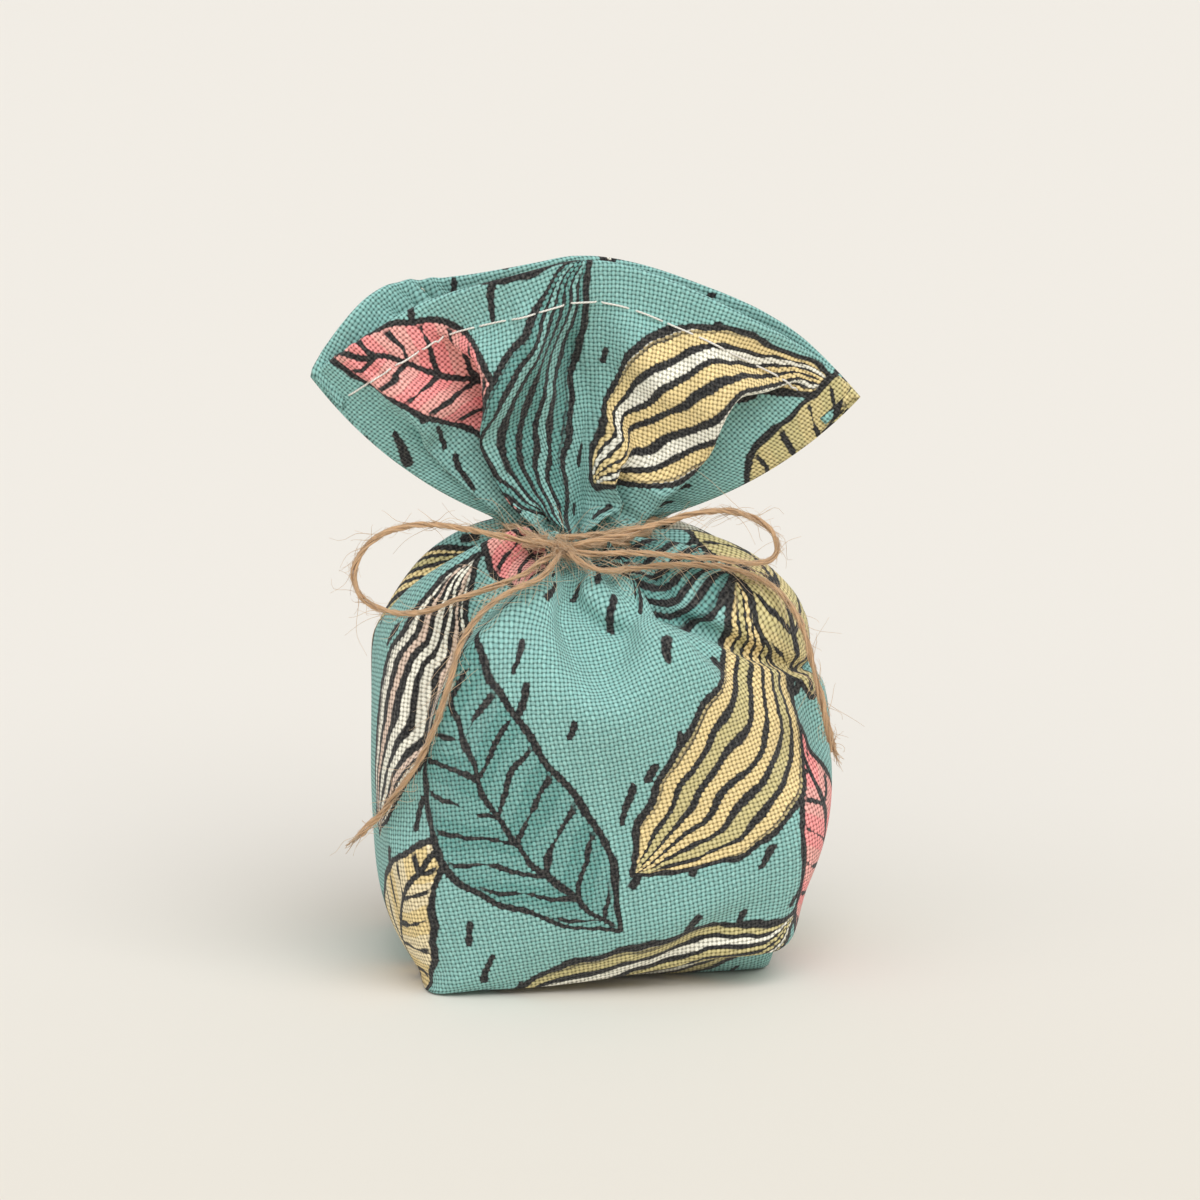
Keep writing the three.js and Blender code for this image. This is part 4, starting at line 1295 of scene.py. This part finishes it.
twineDraw = np.random.default_rng(juteSet["seed"])
twinePieces = {}
for name, path in strandPaths.items():
    tail = name.endswith("tail")
    cordName = name.replace("twine", "cord").replace("bow", "cord")
    cord = strandPiece(cordName, path, (0, 1, 0), twineDraw, 1.0 if tail else 0.0)
    fuzz = fibrePiece(cordName + "_fibres", path, 1.5 if tail else 1.0, twineDraw, 14 if tail else 0)
    twinePieces[name] = (cord, fuzz)
wrapLine, knotLine = wrapPath(), knotPath()
wrapCord = strandPiece("neck_turns", wrapLine, (0, 0, 1), twineDraw)
knotCord = strandPiece("bow_knot", knotLine, knotTurn, twineDraw)
wrapFuzz = fibrePiece("neck_fibres", wrapLine, 1.2, twineDraw)
knotFuzz = fibrePiece("knot_fibres", knotLine, 4.0, twineDraw)
print("twine laid")


# inside: bunched cloth in the tie, stuffing, seam allowances and corner flaps
innerSet = dict(bunchLow=73.0, bunchTop=81.0, bunchInset=1.3, fillInset=1.6, fillLow=1.3, fillTop=69.0,
                bins=72, seamHalf=6.0, seamInset=0.75, seamThick=0.4, floorIn=0.86, floorLift=0.6,
                floorWave=0.12)


def roomAround(points, middle, bins, levels):
    # how far the nearest wall stands at each height and bearing, over neighbouring cells too
    off = points - middle
    column = ((np.arctan2(off[:, 1], off[:, 0]) / (2 * np.pi) + 1) * bins).astype(int) % bins
    row = np.round(np.interp(off[:, 2], levels, np.arange(len(levels)))).astype(int)
    room = np.full((len(levels), bins), 99.0)
    np.minimum.at(room, (row, column), np.hypot(off[:, 0], off[:, 1]))
    for turn in (-1, 1):
        room = np.minimum(room, np.roll(room, turn, 1))
    pad = np.concatenate([room[:1], room, room[-1:]])
    room = np.minimum(np.minimum(pad[:-2], pad[2:]), room)
    return (np.roll(room, 1, 1) + 2 * room + np.roll(room, -1, 1)) / 4


def turnedPiece(name, reach, heights, middle, material):
    # a closed form that reaches so far at each height and bearing, with small flat ends
    rows, count = reach.shape
    bearing = (np.arange(count) + 0.5) / count * 2 * np.pi
    x, y = middle[0] + reach * np.cos(bearing), middle[1] + reach * np.sin(bearing)
    grid = np.stack(np.broadcast_arrays(x, y, heights[:, None]), -1)
    faces = gridFaces(rows, count, True).tolist()
    ends = [list(range(count))[::-1], list(range((rows - 1) * count, rows * count))]
    u = np.linspace(0, 2 * np.pi * reach.max(), count + 1)
    uv = np.stack(np.meshgrid(u, heights + 200), -1)
    uv = np.concatenate([gridUv(uv), np.zeros((2 * count, 2))])
    return makeMesh(name, grid, faces + ends, uv, [material])


def bunchPiece():
    # what fills the tie between the pleats: their inner reach, closing over the top in a soft dome
    s = innerSet
    band = clothPoints[(clothRows > wallRun - 1) & (clothRows < bandEnd + 1)].reshape(-1, 3)
    room = roomAround(band, np.zeros(3), s["bins"], np.array([s["bunchLow"], s["bunchTop"]])).min(0)
    t = np.linspace(0, 1, 16)
    close = np.sqrt(np.clip(1 - ramp(0.45, 1, t) ** 2, 0.0025, 1)) * np.sqrt(np.clip(8 * t, 0.01, 1))
    reach = np.clip(room - s["bunchInset"], 1.0, None) * close[:, None]
    return turnedPiece("neck_bunch", reach, mix(s["bunchLow"], s["bunchTop"], t), np.zeros(3), canvasBack)


def stuffingMaterial():
    # loose white fibre: fine noise
    material, tree = newMaterial("stuffing")
    fluff = noiseOf(objectPlace(tree), 900.0, 5.0, 0.7)
    colour = blendColour(fluff, ink(222, 219, 212), ink(250, 249, 245))
    return finished(material, colour, 1.0, {"Normal": reliefOf(fluff, 0.6, 0.0008)})


def stuffingPiece():
    # as full as the walls and the base allow, drawn to a small end at the floor and under the neck
    s = innerSet
    walls = clothPoints[clothRows < wallRun].reshape(-1, 3)
    base = baseGrid(clothPoints[0], np.linspace(0, 1, 40)[:, None]).reshape(-1, 3)
    solid = np.concatenate([walls, base[base[:, 2] > 1.0]])
    middle = np.array([bodyForm["shift"], 0, 0])
    levels = np.linspace(s["fillLow"], s["fillTop"], 34)
    reach = np.clip(roomAround(solid, middle, s["bins"], levels) - s["fillInset"], 1.5, None)
    shrink = np.linspace(0.05, 0.9, 7)[:, None]
    reach = np.concatenate([shrink * reach[:1], reach, shrink[::-1] * reach[-1:]])
    heights = np.concatenate([np.full(7, levels[0] - 0.05), levels, np.full(7, levels[-1] + 0.1)])
    return turnedPiece("stuffing", reach, heights, middle, stuffingMaterial())


def clothStrip(name, grid, uv):
    # an open grid of unprinted cloth with its thickness
    piece = makeMesh(name, grid, gridFaces(*grid.shape[:2], False).tolist(), gridUv(uv), [canvasBack])
    return thickened(piece, innerSet["seamThick"])


def seamPiece(name, middleColumn):
    # the allowance pressed open inside the wall: the wall's own strip, drawn in by its thickness
    count = clothPoints.shape[1]
    half = int(innerSet["seamHalf"] / clothSet["around"] * count)
    columns = (np.arange(-half, half + 1) + middleColumn) % count
    keep = (clothRows > 5) & (clothRows < 0.75 * wallRun)
    strip = (clothPoints - innerSet["seamInset"] * clothNormals(clothPoints))[keep][::2][:, columns]
    u = (np.arange(2 * half + 1) - half) * clothSet["around"] / count
    return clothStrip(name, strip, np.stack(np.meshgrid(u, clothRows[keep][::2]), -1))


def floorStrip(name, node, pointed):
    # a strip or triangle of cloth in its solid's place, drawn in to lie inside the base, with a faint wave
    s, f = innerSet, bodyForm
    low, high = (np.array(corner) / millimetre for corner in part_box(node))
    a, b = np.linspace(0, 1, 25)[None, :], np.linspace(0, 1, 9)[:, None]
    x = mix(low[0], high[0], a)
    if pointed:
        reach = 1 - 0.96 * np.abs(2 * b - 1)
        left = (low[0] + high[0]) / 2 < f["shift"]
        x = (low[0] if left else high[0]) + (1 if left else -1) * a * reach * (high[0] - low[0])
    x = f["baseShift"] + s["floorIn"] * (x - f["shift"]) + 0 * b
    y = s["floorIn"] * mix(low[1], high[1], b) + 0 * a
    half = f["baseDeep"] / 2
    raised = baseLift(x - f["baseShift"], np.where(y < 0, -half, half))
    z = mix(raised, panelSet["baseFloor"], ramp(0, panelSet["floorReach"], 1 - np.abs(y) / half))
    z = z + s["floorLift"] + s["floorWave"] * np.sin(9 * a + 5 * b)
    grid = np.stack([x, y, z], -1)
    return clothStrip(name, grid, grid[..., :2] + [40, 260])


neckBunch = bunchPiece()
stuffing = stuffingPiece()
leftSeam = seamPiece("left_seam_allowance", clothPoints.shape[1] // 2)
rightSeam = seamPiece("right_seam_allowance", 0)
bottomSeam = floorStrip("bottom_seam_allowance", "bottom_seam", False)
leftFlap = floorStrip("left_boxed_corner", "left_corner_flap", True)
rightFlap = floorStrip("right_boxed_corner", "right_corner_flap", True)
print("inside filled")

# floor and light
# near and far are floor colours that paint the light's falloff from front to back
stageSet = dict(near=ink(227, 222, 212), far=ink(231, 227, 220), size=6.0, low=-0.05, sky=ink(246, 245, 243),
                skyPower=0.62)


def buildStage(s):
    # a pale floor whose colour grows lighter to the back, a painted falloff of the light, under an even sky
    half, low = s["size"] / 2 / millimetre, s["low"]
    corners = [(-half, -half, low), (half, -half, low), (half, half, low), (-half, half, low)]
    material, tree = newMaterial("pale_floor")
    behind = partsOf(objectPlace(tree))[1]
    # painted light: the floor is painted darker near the front and lighter behind
    colour = blendColour(clamped(behind * 4.0 + 0.62), s["near"], s["far"])
    finished(material, colour, 0.95, {"Specular IOR Level": 0.1})
    floor = makeMesh("pale_floor", corners, [(0, 1, 2, 3)], None, [material])
    world = bpy.data.worlds.new("studio")
    world.use_nodes = True
    sky = world.node_tree.nodes["Background"]
    sky.inputs[0].default_value = s["sky"]
    sky.inputs[1].default_value = s["skyPower"]
    bpy.context.scene.world = world


def softSun(name, place, spread, power):
    # a broad even light from far off, aimed at the origin
    data = bpy.data.lights.new(name, "SUN")
    data.energy, data.angle = power, math.radians(spread)
    lamp = bpy.data.objects.new(name, data)
    lamp.location = place
    lamp.rotation_mode = "QUATERNION"
    lamp.rotation_quaternion = (-Vector(place)).to_track_quat("-Z", "Y")
    bpy.context.collection.objects.link(lamp)


buildStage(stageSet)
softSun("key_light", (0.5, -0.95, 1.6), 56, 1.72)
softSun("fill_light", (-1.2, -1.0, 0.9), 70, 0.55)
bpy.context.scene.view_settings.view_transform = "Standard"
print("stage lit")

# what each piece rides on and stands for
flatLong = bodyForm["baseDeep"] / 2 + fullRun + clothSet["hemDeep"]
flatSize = (clothSet["around"] / 2 * millimetre, flatLong * millimetre)
for piece, nodes, stitches in ((frontCloth, ["front_panel", "front_mouth_wall", "front_hem"], frontStitches),
                               (backCloth, ["back_panel", "back_mouth_wall", "back_hem"], backStitches)):
    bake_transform(piece)
    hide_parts(*nodes)
for piece, node in ((frontStitches, "front_hem_thread"), (backStitches, "back_hem_thread")):
    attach(piece, "mouth")
    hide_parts(node)
for piece, node, slot in (
        (neckBunch, "neck_gather", "printed_canvas"), (stuffing, "filling", "stuffing"),
        (leftSeam, "left_side_seam", "canvas_wrong_side"),
        (rightSeam, "right_side_seam", "canvas_wrong_side"),
        (bottomSeam, "bottom_seam", "canvas_wrong_side"),
        (leftFlap, "left_corner_flap", "canvas_wrong_side"),
        (rightFlap, "right_corner_flap", "canvas_wrong_side"),
        (wrapCord, "twine_wrap", "jute_twine"), (knotCord, "twine_knot", "jute_twine")):
    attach(piece, "pouch")
    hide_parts(node)
for piece in (wrapFuzz, knotFuzz):
    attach(piece, "pouch")
for name, (cord, fuzz) in twinePieces.items():
    body = name.replace("_bow", "").replace("_twine", "")
    path = strandPaths[name]
    for piece in (cord, fuzz):
        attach(piece, body)
    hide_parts(name)
    path[0] * millimetre
    path * millimetre
